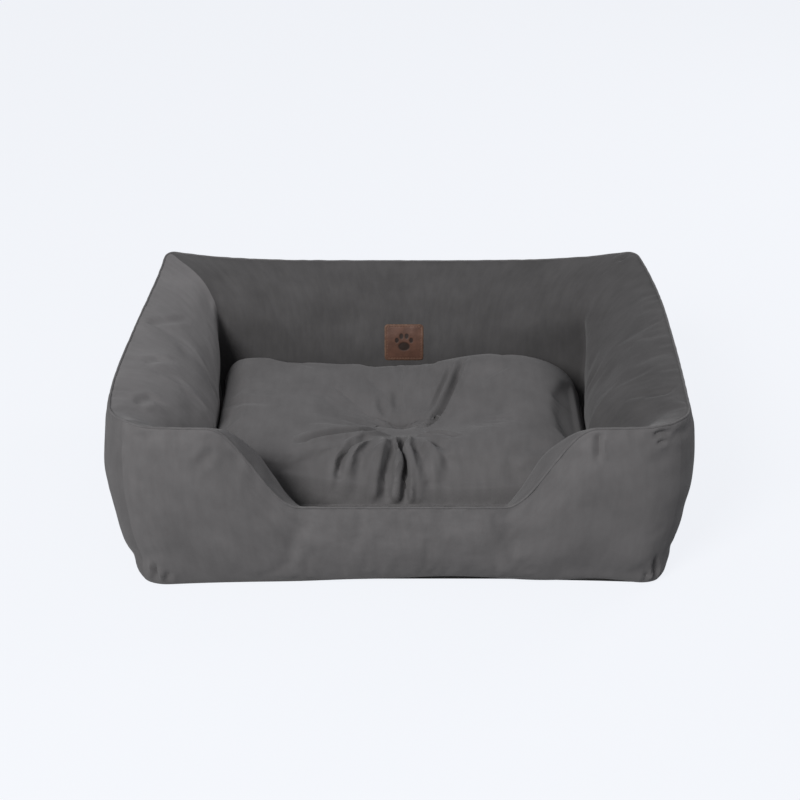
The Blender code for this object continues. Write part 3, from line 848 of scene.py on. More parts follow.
def thicken(obj, thickness=CLOTH_THICK):
    modifier = obj.modifiers.new("cloth", "SOLIDIFY")
    modifier.thickness = thickness
    modifier.offset = -1.0
    apply_modifiers(obj)


def dress(obj, material, body, slot, *nodes):
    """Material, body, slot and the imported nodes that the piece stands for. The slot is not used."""
    obj.data.materials.clear()
    obj.data.materials.append(material)
    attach(obj, body)
    if nodes:
        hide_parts(*nodes)
    return obj


# Panels that take a lighter copy of the charcoal cloth (painted light) or a darker one (painted shade)
# instead of the plain cloth.
PANEL_PAINTED_LIGHT_AND_SHADE = {
    "left_inner_cover": PAINTED_LIGHT_CLOTH,
    "front_outer_cover": PAINTED_LIGHT_FRONT_CLOTH,
    "right_inner_cover": PAINTED_SHADE_CLOTH,
    "back_inner_cover": PAINTED_SHADE_CLOTH,
}
smooth(ring, 180)
for wall_number, wall in enumerate(WALLS):
    for inside, face in enumerate(("outer", "inner")):
        cover = cut_panel(ring, wall_number * 2 + inside, f"{wall}_{face}_cover")
        thicken(cover)
        smooth(cover, 50)
        # Painted light on some panels and painted shade on others; the rest keep the plain charcoal
        # cloth.
        cloth_tone = PANEL_PAINTED_LIGHT_AND_SHADE.get(cover.name, CHARCOAL)
        dress(cover, cloth_tone, "bed", "charcoal_cloth", f"{wall}_wall_{face}_panel")
        print(cover.name, len(cover.data.polygons), "faces")
wall_surface = tree_of(ring)
foot_line = [Vector(p) for p in stuffed[1]]
on_ridge = np.abs(layer_of(ring.data, "over") - OUTER_ROWS) < 0.01
ridge_order = np.argsort(columns_of(ring.data)[on_ridge])
ridge_points = points_of(ring.data)[on_ridge][ridge_order]
bpy.data.objects.remove(ring)

# %% [markdown]
# ## What fills the walls
#
# Inside each pair of panels is a body of loose fibre. It never shows in a finished bed, but the
# part is a whole bed, so it is there: the stuffed shape again, each section drawn in towards its
# own middle, with closed ends.

# %% Fibre inside the walls
FIBRE_SHARE = 0.84


def loft(name, rings, closed=False):
    """A body through rings of points, with flat ends, or joined up to its own start."""
    rings = np.asarray(rings)
    count, size = rings.shape[:2]
    faces = []
    for here in range(count if closed else count - 1):
        there = (here + 1) % count
        for k in range(size):
            n = (k + 1) % size
            faces.append((here * size + k, here * size + n, there * size + n, there * size + k))
    if not closed:
        faces += [tuple(range(size))[::-1], tuple(range((count - 1) * size, count * size))]
    mesh = bpy.data.meshes.new(name)
    mesh.from_pydata(rings.reshape(-1, 3).tolist(), [], faces)
    body = add_object(name, mesh)
    edit_all(body, bpy.ops.mesh.normals_make_consistent, inside=False)
    smooth(body)
    return body


def drawn_in(sections, share):
    """Rings of points, each drawn in towards its own middle."""
    sections = sections.transpose(1, 0, 2)
    middles = sections.mean(axis=1, keepdims=True)
    return middles + (sections - middles) * share


for wall, first, last in zip(WALLS, WALL_STARTS, WALL_STARTS[1:]):
    chosen = [k % RING for k in range(first + 1, last, 2)]
    fibre = loft(f"{wall}_fibre", drawn_in(stuffed[3 : ROWS - 2 : 2][:, chosen], FIBRE_SHARE))
    dress(fibre, FIBRE, "bed", "fibre", f"{wall}_wall_filling")
    print(fibre.name, len(fibre.data.polygons), "faces")

# %% [markdown]
# ## The ridge welt
#
# The two panels of a wall are sewn together along the ridge, and the seam stands up as a thin fold
# of cloth. It is a tube along the swollen cover's ridge, a little thicker in some places than in
# others, because a folded edge is never quite even.


# %% A tube along a line
def tube(name, line, radius, closed=True, seed=1, uneven=0.18):
    """A round bead along points, whose radius wanders a little."""
    curve = bpy.data.curves.new(name, "CURVE")
    curve.dimensions = "3D"
    curve.bevel_depth = radius
    curve.bevel_resolution = 1
    curve.use_fill_caps = not closed
    spline = curve.splines.new("POLY")
    spline.points.add(len(line) - 1)
    thick = 1 + uneven * wobble(np.array(line), 0.012, seed)
    for spot, point, share in zip(spline.points, line, thick):
        spot.co = (*point, 1.0)
        spot.radius = share
    spline.use_cyclic_u = closed
    pick(add_object(name, curve))
    bpy.ops.object.convert(target="MESH")
    bead = bpy.context.object
    smooth(bead, 180)
    return bead


# %% Sew the ridge
WELT_RADIUS = 0.0014
WELT_RISE = 0.0002
ridge_line = [Vector(p) + Vector((0, 0, WELT_RISE)) for p in ridge_points]
welt = tube("ridge_welt", ridge_line, WELT_RADIUS, seed=4)
dress(welt, SEAM_CLOTH, "bed", "grey_thread", "ridge_seam")
print("ridge welt:", len(welt.data.polygons), "faces")

# %% [markdown]
# ## The cushion
#
# The cushion is two round-cornered panels, sewn together at the edge and drawn together by a tie at
# the middle. Its points run round it in turns and rings, so that the folds that spread from the tie
# have rows of points to follow. The upper panel falls to the seam more sharply on the left, where
# it is pushed against the wall, than at the front. Mounds and hollows give its settled top, and it
# is stuffed by simulation like the walls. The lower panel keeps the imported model's shape, because
# the bed's floor holds it and the zip lies on it.

# %% The cushion's shape
CUSHION_TURNS = 360
CUSHION_RINGS = 46
SQUARENESS = {(1, 1): 8.0, (-1, 1): 18.0, (-1, -1): 10.0, (1, -1): 7.5}
BACK_FALL, FRONT_FALL, LEFT_FALL = 8.0, 4.0, 18.0
WELT_REACH = 0.0018
CUSHION_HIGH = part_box("cushion_edge_seam")[1]
CUSHION_X, CUSHION_Y = CUSHION_HIGH.x - WELT_REACH, CUSHION_HIGH.y - WELT_REACH
CUSHION_SEAM = CUSHION_HIGH.z - WELT_REACH
CUSHION_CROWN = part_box("cushion_top_panel")[1].z - CUSHION_SEAM
CUSHION_DROP = CUSHION_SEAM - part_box("cushion_bottom_panel")[0].z
TUFT_DEPTH = 0.040
TUFT_SPREAD = 0.052
TUFT_UNDER = 0.014
TUFT_HOLE = 0.004
EDGE_PULL = 0.016
MOUNDS = ((0.125, 0.085, 0.085, 0.0160), (0.028, 0.165, 0.030, -0.0060), (-0.130, 0.110, 0.110, -0.0060),
          (0.0, -0.160, 0.110, -0.0100), (-0.110, -0.030, 0.060, 0.0010), (0.110, -0.075, 0.060, 0.0030))
print("cushion", [round(v, 4) for v in (CUSHION_X, CUSHION_Y, CUSHION_SEAM, CUSHION_CROWN)])


def cushion_point(turn, r, upper):
    c, s = math.cos(turn), math.sin(turn)
    corner = SQUARENESS[(1 if c > 0 else -1, 1 if s > 0 else -1)]
    reach = (abs(c) ** corner + abs(s) ** corner) ** (-1 / corner)
    x, y = CUSHION_X * c * reach, CUSHION_Y * s * reach
    cornered = min(abs(x) / CUSHION_X, abs(y) / CUSHION_Y) / 0.906
    pull = 1 - EDGE_PULL * r**16 * (1 - min(1.0, cornered) ** 3)
    x, y = x * r * pull, y * r * pull
    near = (math.hypot(x, y) / TUFT_SPREAD) ** 2
    if not upper:
        return x, y, CUSHION_SEAM - CUSHION_DROP * (1 - r**8) ** 0.5 + TUFT_UNDER * math.exp(-near)
    power = FRONT_FALL + (BACK_FALL - FRONT_FALL) * ease(0.5 + s) + LEFT_FALL * ease(-c * 1.2)
    fall = (1 - r**power) ** 0.5
    rise = CUSHION_CROWN
    for at_x, at_y, size, height in MOUNDS:
        rise += height * math.exp(-((x - at_x) ** 2 + (y - at_y) ** 2) / size**2)
    return x, y, CUSHION_SEAM + rise * fall - TUFT_DEPTH * math.exp(-(near**0.8))


def ring_shares(count):
    """Shares of the way from the tie's hole to the edge, closer together at both ends."""
    hole = TUFT_HOLE / CUSHION_X
    even = [0.5 - 0.5 * math.cos(math.pi * k / count) for k in range(count + 1)]
    return [hole + (1 - hole) * share**0.85 for share in even]


# %% Roll a grid into each panel
def make_panel(name, upper):
    panel = make_grid(name, CUSHION_TURNS, CUSHION_RINGS)
    turns = [2 * math.pi * (k + 0.5) / CUSHION_TURNS for k in range(CUSHION_TURNS + 1)]
    shares = ring_shares(CUSHION_RINGS)
    if upper:
        shares = shares[::-1]
    points = np.array([[cushion_point(turn, r, upper) for turn in turns] for r in shares])
    set_points(panel.data, points.reshape(-1, 3))
    number_grid(panel.data, CUSHION_RINGS + 1, CUSHION_TURNS)
    uv = panel.data.uv_layers.active.data
    flat = [panel.data.vertices[loop.vertex_index].co.xy for loop in panel.data.loops]
    uv.foreach_set("uv", np.array(flat).ravel())
    edit_all(panel, bpy.ops.mesh.remove_doubles, threshold=0.00001)
    return panel


cushion_top = make_panel("cushion_top_cover", True)
cushion_bottom = make_panel("cushion_bottom_cover", False)
for panel in (cushion_top, cushion_bottom):
    print(panel.name, "faces up by", round(normals_of(panel.data)[:, 2].mean(), 2))

# %% Stuff the cushion's upper panel
TOP_PRESSURE = 3.0
TOP_SPARE = 0.035
TOP_CAP = 0.007
EDGE_CAP = 0.0025
EDGE_POINTS = 480
row = layer_of(cushion_top.data, "row")
pinned = (row == 0) | (row >= CUSHION_RINGS - 3)
cap = np.where(row < 8, EDGE_CAP, TOP_CAP)
inflate(cushion_top, pinned, TOP_PRESSURE, TOP_SPARE, cap, bending=0.15)
edge_turns = [2 * math.pi * (k + 0.5) / EDGE_POINTS for k in range(EDGE_POINTS)]
edge_line = [Vector(cushion_point(turn, 1.0, True)) for turn in edge_turns]
top_rows = rows_of(cushion_top.data, CUSHION_RINGS + 1)
bottom_rows = rows_of(cushion_bottom.data, CUSHION_RINGS + 1)
subdivide(cushion_top)

# %% Folds that spread from the tie
CUSHION_FOLDS = [
    (
        ((0.02, -0.022), (0.036, -0.01), (0.051, 0.014), (0.066, 0.052), (0.084, 0.104)),
        0.0105, 0.0044, 0.35, 0.12,
    ),
    (((0.038, 0.02), (0.046, 0.038), (0.056, 0.062), (0.067, 0.094)), 0.0045, 0.0034, 0.35, 0.25),
    (
        ((-0.018, -0.036), (-0.049, -0.07), (-0.088, -0.088), (-0.112, -0.098), (-0.134, -0.114)),
        0.011, 0.0044, 0.5, 0.3,
    ),
    (((0.02, -0.04), (0.044, -0.058), (0.075, -0.084)), 0.007, 0.004, 0.5, 0.5),
    (
        ((0.0, -0.05), (0.001, -0.08), (0.003, -0.11), (0.003, -0.14), (0.003, -0.158)),
        0.0115, 0.0048, 0.45, 0.12,
    ),
    (((-0.008, -0.07), (-0.013, -0.105), (-0.018, -0.135), (-0.021, -0.158)), 0.01, 0.0066, 0.5, 0.15),
    (((-0.038, -0.078), (-0.058, -0.104), (-0.073, -0.126), (-0.08, -0.15)), 0.008, 0.0042, 0.5, 0.4),
    (((-0.034, -0.086), (-0.048, -0.118), (-0.058, -0.154)), 0.0075, 0.007, 0.5, 0.5),
    (((0.012, -0.074), (0.024, -0.11), (0.034, -0.154)), 0.008, 0.0066, 0.5, 0.45),
    (((0.028, -0.072), (0.05, -0.098), (0.062, -0.138)), 0.005, 0.0062, 0.5, 0.5),
    (((-0.019, 0.01), (-0.025, 0.028), (-0.029, 0.054)), 0.003, 0.0046, 0.4, 0.6),
    (((-0.003, 0.02), (-0.006, 0.04), (-0.008, 0.068)), 0.0028, 0.0046, 0.4, 0.6),
    (((-0.022, -0.014), (-0.05, -0.012), (-0.09, -0.02)), 0.003, 0.0052, 0.4, 0.7),
    (((0.12, -0.126), (0.15, -0.108), (0.19, -0.1)), 0.0036, 0.0085, 0.4, 0.5),
    (((-0.228, 0.02), (-0.2, -0.004), (-0.15, -0.012)), 0.0026, 0.0075, 0.4, 0.6),
    (((-0.236, -0.06), (-0.2, -0.054)), 0.0026, 0.005, 0.4, 0.7),
]
heights = tree_of(cushion_top)


def on_top(x, y):
    hit = heights.ray_cast(Vector((x, y, 0.3)), Vector((0, 0, -1)))[0]
    return tuple(hit) if hit else (x, y, CUSHION_SEAM)


for path, *fold in CUSHION_FOLDS:
    crease(cushion_top, [on_top(x, y) for x, y in path], *fold)
print(len(CUSHION_FOLDS), "folds over the cushion")


# %% [markdown]
# ## Keeping the cushion out of the walls
#
# The side walls lean in over the cushion's edge. Two soft things that press together share the
# space between them, so every point of the cushion that would lie inside a wall moves out to the
# wall's face.


# %% Push points out of the walls
CONTACT_GAP = 0.0006
CONTACT_REACH = 0.05
FREE_HALF_X, FREE_HALF_Y = 0.19, 0.12


def clear_walls(obj):
    mesh = obj.data
    points = points_of(mesh)
    moved = 0
    for k, p in enumerate(points):
        if abs(p[0]) < FREE_HALF_X and abs(p[1]) < FREE_HALF_Y:
            continue
        spot, normal, _, away = wall_surface.find_nearest(Vector(p))
        inside = (Vector(p) - spot).dot(normal)
        if inside < CONTACT_GAP and away < CONTACT_REACH:
            points[k] = spot + normal * CONTACT_GAP
            moved += 1
    set_points(mesh, points)
    print(obj.name, moved, "points moved out of the walls")


clear_walls(cushion_top)
clear_walls(cushion_bottom)

# %% Close the cushion and give it its edge welt
CUSHION_FIBRE_SHARE = (0.88, 0.88, 0.60)
for panel, node in ((cushion_top, "cushion_top_panel"), (cushion_bottom, "cushion_bottom_panel")):
    thicken(panel)
    smooth(panel)
    # Both cushion panels take the slightly lighter copy of the charcoal cloth: painted light.
    dress(panel, PAINTED_LIGHT_CUSHION_CLOTH, "cushion", "charcoal_cloth", node)
    print(panel.name, len(panel.data.polygons), "faces")
cushion_welt = tube("cushion_welt", edge_line, WELT_REACH, seed=5)
clear_walls(cushion_welt)
dress(cushion_welt, SEAM_CLOTH, "cushion", "grey_thread", "cushion_edge_seam")
sections = np.concatenate([top_rows[2:-6:2, ::4], bottom_rows[6:-2:2, ::4]])
cushion_fibre = loft("cushion_fibre", drawn_in(sections, CUSHION_FIBRE_SHARE), closed=True)
dress(cushion_fibre, FIBRE, "cushion", "fibre", "cushion_filling")

# %% [markdown]
# ## The tie
#
# One cord goes through the middle of the cushion and is wound round itself at each end, which holds
# the two panels together and makes the deep dimple. Each end is a few loops of cord, laid a little
# askew.

# %% Wind the tie
CORD_RADIUS = 0.0008
TWISTED_RADIUS = 0.0018
LOOPS = ((0.0040, 0.0, 6), (0.0034, 0.0012, -10), (0.0022, 0.0020, 16))


def loop_line(radius, height, tilt, count=20):
    """A ring of points, tilted by some degrees about the X axis."""
    turn = Matrix.Rotation(math.radians(tilt), 3, "X")
    angles = [2 * math.pi * k / count for k in range(count)]
    flat = [Vector((radius * math.cos(a), radius * math.sin(a), 0)) for a in angles]
    return [turn @ spot + Vector((0, 0, height)) for spot in flat]


def join(name, parts):
    bpy.ops.object.select_all(action="DESELECT")
    for part in parts:
        part.select_set(True)
    bpy.context.view_layer.objects.active = parts[0]
    bpy.ops.object.join()
    return newest(name)


tie_top = float(top_rows[-1, :, 2].mean()) - 0.0004
tie_bottom = float(bottom_rows[0, :, 2].mean()) - 0.0010
through = [Vector((0, 0, tie_bottom)), Vector((0, 0, tie_top))]
parts = [tube("tie_cord", through, TWISTED_RADIUS, closed=False, uneven=0.0)]
for level, way in ((tie_top, 1), (tie_bottom, -1)):
    for radius, height, tilt in LOOPS:
        line = loop_line(radius, level + way * height * 0.8, tilt)
        parts.append(tube("tie_loop", line, CORD_RADIUS, uneven=0.1))
tie = join("tuft_knots", parts)
dress(tie, THREAD, "cushion", "grey_thread", "tuft_tie")
print("tie from", round(tie_bottom, 4), "to", round(tie_top, 4), len(tie.data.polygons), "faces")

# %% [markdown]
# ## The leather label
#
# The label is a stamped square of leather, sewn to the back wall. Its face is a grid of points a
# millimetre apart, so that the rounded edge, the groove under the stitches and the stamped paw are
# real relief. Each point is dropped on to the swollen wall, so the label follows the cloth. Two
# masks go with it: one for the worn rim and one for the stamp, which the material reads.

# %% Drop the label on the wall
LABEL_LOW, LABEL_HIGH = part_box("label_patch")
LABEL_HALF_X = (LABEL_HIGH.x - LABEL_LOW.x) / 2
LABEL_UP = Vector((0, LABEL_HIGH.y - LABEL_LOW.y, LABEL_HIGH.z - LABEL_LOW.z))
LABEL_HALF_UP = LABEL_UP.length / 2
LABEL_UP.normalize()
LABEL_OUT = Vector((1, 0, 0)).cross(LABEL_UP)
LABEL_SHIFT = Vector((0.0035, 0.0, 0.002))
LABEL_MIDDLE = (LABEL_LOW + LABEL_HIGH) / 2 + LABEL_SHIFT
LABEL_CORNER = 0.0045
LABEL_THICK = 0.0016
LABEL_CLOTH_GAP = 0.0002
LABEL_BODY = 0.0010
RIM_ROUNDING = 0.0006
RIM_WEAR = 0.0013
GROOVE_INSET = 0.0034
GROOVE_WIDTH = 0.0006
GROOVE_DEPTH = 0.0005
STAMP_DEPTH = 0.0005
PADS = (
    (0.0, -0.0055, 0.0078, 0.0060),
    (-0.0098, 0.0030, 0.0026, 0.0036),
    (-0.0036, 0.0086, 0.0027, 0.0038),
    (0.0036, 0.0086, 0.0027, 0.0038),
    (0.0098, 0.0030, 0.0026, 0.0036),
)


def on_wall(a, b, height):
    """The place at a across and b up the label, at a height above the wall's cloth."""
    start = LABEL_MIDDLE + Vector((a, 0, 0)) + LABEL_UP * b + LABEL_OUT * 0.08
    spot = wall_surface.ray_cast(start, -LABEL_OUT)[0]
    return spot + LABEL_OUT * height


def rim_distance(a, b):
    """The point kept inside the rounded outline, and how far it lies from the rim."""
    x = abs(a) - (LABEL_HALF_X - LABEL_CORNER)
    y = abs(b) - (LABEL_HALF_UP - LABEL_CORNER)
    if x <= 0 or y <= 0:
        return a, b, LABEL_CORNER - max(x, y)
    length = math.hypot(x, y)
    over = min(1.0, LABEL_CORNER / length)
    a = math.copysign(LABEL_HALF_X - LABEL_CORNER + x * over, a)
    b = math.copysign(LABEL_HALF_UP - LABEL_CORNER + y * over, b)
    return a, b, max(0.0, LABEL_CORNER - length)


def stamped(a, b):
    """1 inside the stamped paw and 0 outside, with soft edges."""
    depth = 0.0
    for at_a, at_b, half_a, half_b in PADS:
        out = math.hypot((a - at_a) / half_a, (b - at_b) / half_b)
        depth = max(depth, min(1.0, max(0.0, (1.1 - out) / 0.2)))
    return depth


def make_label():
    label = make_grid("leather_label", 64, 60)
    points, worn, pressed = [], [], []
    for vertex in label.data.vertices:
        a, b, rim = rim_distance(vertex.co.x * 2 * LABEL_HALF_X, vertex.co.y * 2 * LABEL_HALF_UP)
        stamp = stamped(a, b)
        height = LABEL_THICK * (1 - math.exp(-(rim / RIM_ROUNDING))) - STAMP_DEPTH * stamp
        height -= GROOVE_DEPTH * math.exp(-(((rim - GROOVE_INSET) / GROOVE_WIDTH) ** 2))
        height += 0.0002 * noise.noise(Vector((a, b, 0)) / 0.009)
        points.append(on_wall(a, b, height + LABEL_CLOTH_GAP))
        worn.append(math.exp(-rim / RIM_WEAR))
        pressed.append(stamp)
    set_points(label.data, points)
    store(label.data, "worn", worn)
    store(label.data, "pressed", pressed)
    thicken(label, LABEL_BODY)
    smooth(label)
    return label


# %% [markdown]
# ## Leather, thread and metal
#
# Leather has a pebbled grain, is darker where it was stamped, and is paler at the rim, where it is
# rubbed. Its group takes the two masks and gives back a colour, a roughness and a normal. The
# nickel of the zip is brushed, so its group breaks up the gloss with fine scratches.


# %% Leather and nickel
def make_leather_group():
    group = Group(
        "Grained leather",
        ("Worn", "NodeSocketFloat", 0.0),
        ("Pressed", "NodeSocketFloat", 0.0),
        ("Face", "NodeSocketColor", (0.115, 0.054, 0.036, 1)),
        ("Rim", "NodeSocketColor", (0.25, 0.15, 0.095, 1)),
        ("Stamp", "NodeSocketColor", (0.030, 0.018, 0.014, 1)),
    )
    place = group.given["Place"]
    grain = {"Vector": place, "Scale": 900.0}
    pebbles = group.add("ShaderNodeTexVoronoi", grain, feature="SMOOTH_F1").outputs[0]
    mottle = group.remap(group.noise(place, 90.0, 4.0, 0.6), 0.35, 0.65, 0.82, 1.18)
    rubbed = group.noise(place, 260.0, 3.0, 0.6)
    rim = group.math("MULTIPLY", group.given["Worn"], group.remap(rubbed, 0.35, 0.6))
    face = group.brighten(group.given["Face"], mottle)
    stamped_face = group.blend(group.given["Pressed"], face, group.given["Stamp"])
    group.give(
        Color=group.blend(rim, stamped_face, group.given["Rim"]),
        Roughness=group.remap(mottle, 0.8, 1.2, 0.66, 0.52),
        Normal=group.bump(pebbles, 0.5, 0.0003),
    )
    return group.tree


def make_metal_group():
    group = Group(
        "Brushed metal",
        ("Base", "NodeSocketColor", (0.50, 0.48, 0.46, 1)),
        ("Grime", "NodeSocketColor", (0.20, 0.19, 0.18, 1)),
    )
    place = group.given["Place"]
    scratches = group.noise(place, 500.0, 4.0, 0.7, stretch=(0.15, 1, 1))
    dull = group.noise(place, 160.0, 3.0, 0.6)
    group.give(
        Color=group.blend(group.remap(dull, 0.5, 0.75), group.given["Base"], group.given["Grime"]),
        Roughness=group.remap(scratches, 0.3, 0.7, 0.22, 0.45),
        Normal=group.bump(scratches, 0.2, 0.0001),
    )
    return group.tree


LEATHER_SHINE = {"Specular IOR Level": 0.4}
LEATHER = finish("tan_leather", make_leather_group(), place="Object", shader_values=LEATHER_SHINE)
leather_nodes, leather_links = LEATHER.node_tree.nodes, LEATHER.node_tree.links
leather_node = next(n for n in leather_nodes if n.type == "GROUP")
for mask in ("worn", "pressed"):
    reader = leather_nodes.new("ShaderNodeAttribute")
    reader.attribute_name = mask
    leather_links.new(reader.outputs["Fac"], leather_node.inputs[mask.capitalize()])
NICKEL = finish("nickel", make_metal_group(), place="Object", shader_values={"Metallic": 1.0})
TAN_THREAD = finish(
    "tan_thread",
    CLOTH_GROUP,
    place="Object",
    shader_values=SOFT_SHEEN,
    Nap_Up=(0.30, 0.17, 0.11, 1),
    Nap_Down=(0.20, 0.105, 0.07, 1),
    Patch_Size=0.003,
    Thread_Size=0.0004,
    Relief=0.8,
)
label = make_label()
dress(label, LEATHER, "bed", "tan_leather", "label_patch")
print("label", [round(v, 4) for v in label.dimensions], len(label.data.polygons), "faces")


# %% Stitches round the label
STITCH_LENGTH = 0.0027
STITCH_GAP = 0.0011
STITCH_RADIUS = 0.00042


def scatter(name, source, matrices):
    """Copies of one small mesh, one for each matrix, in a single piece."""
    points, faces = points_of(source.data), [tuple(p.vertices) for p in source.data.polygons]
    all_points, all_faces = [], []
    for matrix in matrices:
        turn, shift = np.array(matrix.to_3x3()), np.array(matrix.translation)
        start = len(all_points) * len(points)
        all_points.append(points @ turn.T + shift)
        all_faces += [tuple(k + start for k in face) for face in faces]
    mesh = bpy.data.meshes.new(name)
    mesh.from_pydata(np.concatenate(all_points).tolist(), [], all_faces)
    copies = add_object(name, mesh)
    bpy.data.objects.remove(source)
    smooth(copies, 180)
    return copies


def facing(spot, along, out):
    """A matrix at the spot whose X axis lies along and whose Z axis points out."""
    x = along.normalized()
    y = out.cross(x).normalized()
    matrix = Matrix((x, y, x.cross(y))).transposed().to_4x4()
    matrix.translation = spot
    return matrix


def stitch_places():
    half_a, half_b = LABEL_HALF_X - GROOVE_INSET, LABEL_HALF_UP - GROOVE_INSET
    radius = LABEL_CORNER - 0.0025
    corners = ((1, 1, 0), (-1, 1, 90), (-1, -1, 180), (1, -1, 270))
    line = []
    for way_a, way_b, start in corners:
        for k in range(5):
            angle = math.radians(start + k * 22.5)
            a = way_a * (half_a - radius) + radius * math.cos(angle)
            b = way_b * (half_b - radius) + radius * math.sin(angle)
            line.append((a, b))
    line = np.array(line + line[:1])
    steps = np.concatenate([[0.0], np.cumsum(np.linalg.norm(np.diff(line, axis=0), axis=1))])
    count = round(steps[-1] / (STITCH_LENGTH + STITCH_GAP))
    for k in range(count):
        way = [(k + share) / count * steps[-1] for share in (0.0, 0.1)]
        here, ahead = ((np.interp(w, steps, line[:, 0]), np.interp(w, steps, line[:, 1])) for w in way)
        lift = LABEL_THICK - GROOVE_DEPTH + 0.0004
        spot, near = on_wall(*here, lift), on_wall(*ahead, lift)
        yield facing(spot, near - spot, LABEL_OUT)


bpy.ops.mesh.primitive_uv_sphere_add(segments=8, ring_count=6, radius=STITCH_RADIUS)
stitch = bpy.context.object
shape = points_of(stitch.data)
shape[:, 0] = np.sign(shape[:, 0]) * np.abs(shape[:, 0] / STITCH_RADIUS) ** 0.7 * STITCH_LENGTH / 2
shape[:, 2] -= 0.6 * STITCH_RADIUS * np.abs(shape[:, 0] / STITCH_LENGTH * 2) ** 2
set_points(stitch.data, shape)
stitches = scatter("label_stitches", stitch, list(stitch_places()))
dress(stitches, TAN_THREAD, "bed", "tan_thread", "label_thread")
print("stitches:", len(stitches.data.polygons), "faces")

# %% [markdown]
# ## The zip
#
# The cushion's cover closes with a nylon coil zip along its lower back edge. Each side of the chain
# is a row of small loops, and the two rows mesh. One loop is modelled and copied along the packed
# chain's length. The tapes, the slider, its tab and the stops have the right shape already, so they
# only get their finishes.

# %% Coil the zip's chain
LOOP_PITCH = 0.0016
LOOP_RADIUS = 0.00095
LOOP_WIRE = 0.00034
LOOP_FLATTENING = 0.62
HALF_LOOP_OFFSET = 0.00052
chain_low, chain_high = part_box("zip_chain")
JOINTS = {joint["name"]: joint for joint in frame["record"]["behaviour"]["joints"]}
ZIP_ACROSS = Vector(JOINTS["pull_tab_swing"]["axis"])
chain_middle = (chain_low + chain_high) / 2
bpy.ops.mesh.primitive_torus_add(
    major_segments=10, minor_segments=5, major_radius=LOOP_RADIUS, minor_radius=LOOP_WIRE
)
loop = bpy.context.object
shape = points_of(loop.data)
shape[:, 1] *= LOOP_FLATTENING
set_points(loop.data, shape)
places = []
count = int((chain_high.x - chain_low.x) / LOOP_PITCH) - 1
for k in range(count):
    for way in (1, -1):
        along = (k - (count - 1) / 2 + 0.25 * way) * LOOP_PITCH
        spot = chain_middle + Vector((along, 0, 0)) + ZIP_ACROSS * (HALF_LOOP_OFFSET * way)
        places.append(facing(spot, ZIP_ACROSS, Vector((1, 0, 0))))
coil = scatter("zip_coil", loop, places)
NYLON = small_cloth("black_nylon", 0.030, 0.022, 0.01, 0.0006, 0.2)
NYLON.node_tree.nodes["Principled BSDF"].inputs["Specular IOR Level"].default_value = 0.5
dress(coil, NYLON, "cushion", "zip_chain", "zip_chain")
print("zip coil:", count, "loops a side,", len(coil.data.polygons), "faces")

# %% [markdown]
# ## Under the bed and on its floor
#
# The underside is a sheet of black cloth, cut to the line of the foot, with rubber dots that stop
# the bed from sliding. The floor of the bed is a sheet of the cover's cloth laid over a thin pad.
# Both are flat sheets; their cut sizes come from the foot's line and the imported lining.

# %% Cut the underside to the foot's line
UNDER_INSET = 0.0090
UNDER_TOP = 0.0022
UNDER_THICK = 0.0012
bpy.ops.mesh.primitive_circle_add(vertices=RING, radius=0.3, fill_type="NGON")
under = newest("underside_cloth")
outline = []
for k, spot in enumerate(foot_line):
    ahead = foot_line[(k + 1) % RING] - foot_line[k - 1]
    inwards = Vector((-ahead.y, ahead.x, 0)).normalized()
    outline.append(Vector((spot.x, spot.y, 0)) + inwards * UNDER_INSET)
turned = sum(a.x * b.y - a.y * b.x for a, b in zip(outline, outline[1:] + outline[:1])) / 2
set_points(under.data, [(p.x, p.y, UNDER_TOP) for p in (outline if turned > 0 else outline[::-1])])
under_size = (max(p.x for p in outline) * 2, max(p.y for p in outline) * 2)
pick(under)
bpy.ops.object.mode_set(mode="EDIT")
bpy.ops.mesh.select_all(action="SELECT")
bpy.ops.mesh.inset(thickness=0.012)
bpy.ops.mesh.inset(thickness=0.05)
bpy.ops.object.mode_set(mode="OBJECT")
thicken(under, UNDER_THICK)
smooth(under, 30)
dress(under, UNDER_CLOTH, "bed", "underside_cloth", "base_underside")
print("underside", [round(v, 4) for v in under_size], "area", round(abs(turned), 4))

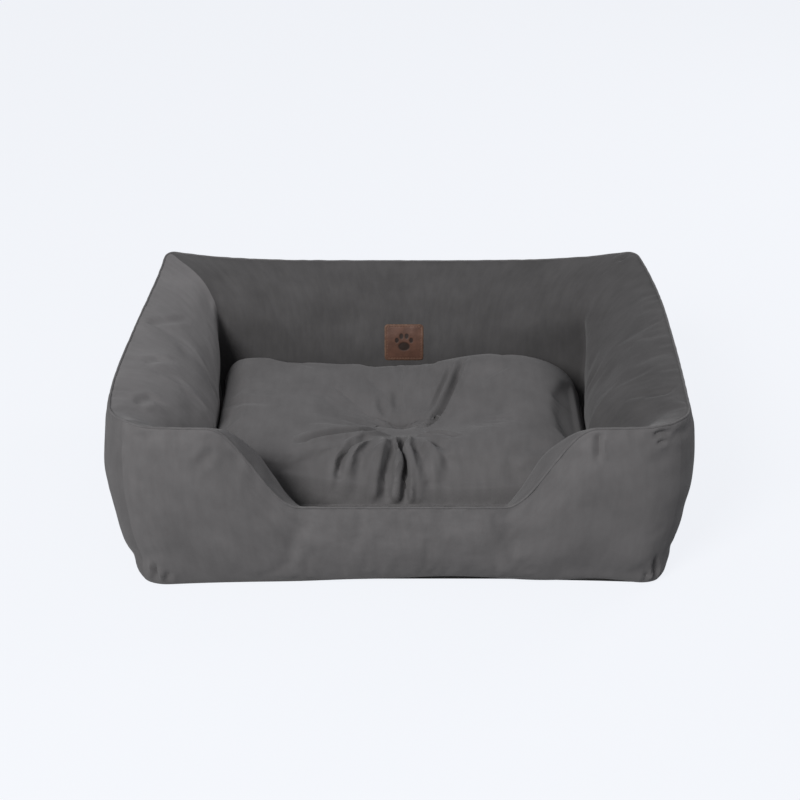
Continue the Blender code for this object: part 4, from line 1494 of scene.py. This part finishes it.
# %% Rubber dots under it
DOT_PITCH = 0.015
DOT_RADIUS = 0.0024
DOT_MARGIN = 0.016
DOT_CORNER = 0.03
bpy.ops.mesh.primitive_uv_sphere_add(segments=8, ring_count=4, radius=DOT_RADIUS)
dot = bpy.context.object
shape = points_of(dot.data)
shape[:, 2] *= (UNDER_TOP - UNDER_THICK) / DOT_RADIUS
set_points(dot.data, shape)
half_x, half_y = under_size[0] / 2 - DOT_MARGIN, under_size[1] / 2 - DOT_MARGIN
spots = []
for i in range(int(2 * half_x / DOT_PITCH) + 1):
    for k in range(int(2 * half_y / DOT_PITCH) + 1):
        x, y = -half_x + i * DOT_PITCH, -half_y + k * DOT_PITCH
        past = max(0, abs(x) - half_x + DOT_CORNER), max(0, abs(y) - half_y + DOT_CORNER)
        if math.hypot(*past) < DOT_CORNER:
            spots.append(Matrix.Translation((x, y, UNDER_TOP - UNDER_THICK)))
dots = scatter("underside_dots", dot, spots)
dress(dots, NYLON, "bed", "underside_cloth")
print("underside dots:", len(spots))

# %% Lay the floor's cloth
LINING_LOW, LINING_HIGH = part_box("base_lining")
lining_size = (LINING_HIGH.x - LINING_LOW.x, LINING_HIGH.y - LINING_LOW.y)
lining = make_grid("floor_lining", 72, 48)
spread = points_of(lining.data) * (*lining_size, 0)
lay_out_cloth(lining.data, *lining_size)
spread[:, 2] = LINING_HIGH.z - 0.0003 + 0.0003 * wobble(spread, 0.04, 11)
set_points(lining.data, spread)
thicken(lining, 0.0010)
smooth(lining, 40)
dress(lining, CHARCOAL, "bed", "charcoal_cloth", "base_lining")

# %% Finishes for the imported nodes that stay
KEPT = {"base_wadding": FIBRE, "zip_tape_upper": ZIP_CLOTH, "zip_tape_lower": ZIP_CLOTH}
for node in ("zip_stop_closed", "zip_stop_open", "zip_slider", "zip_pull_tab"):
    KEPT[node] = NICKEL
for node, material in KEPT.items():
    kept = frame["nodes"][node]
    kept.data.materials.clear()
    kept.data.materials.append(material)
print("kept", sorted(KEPT))
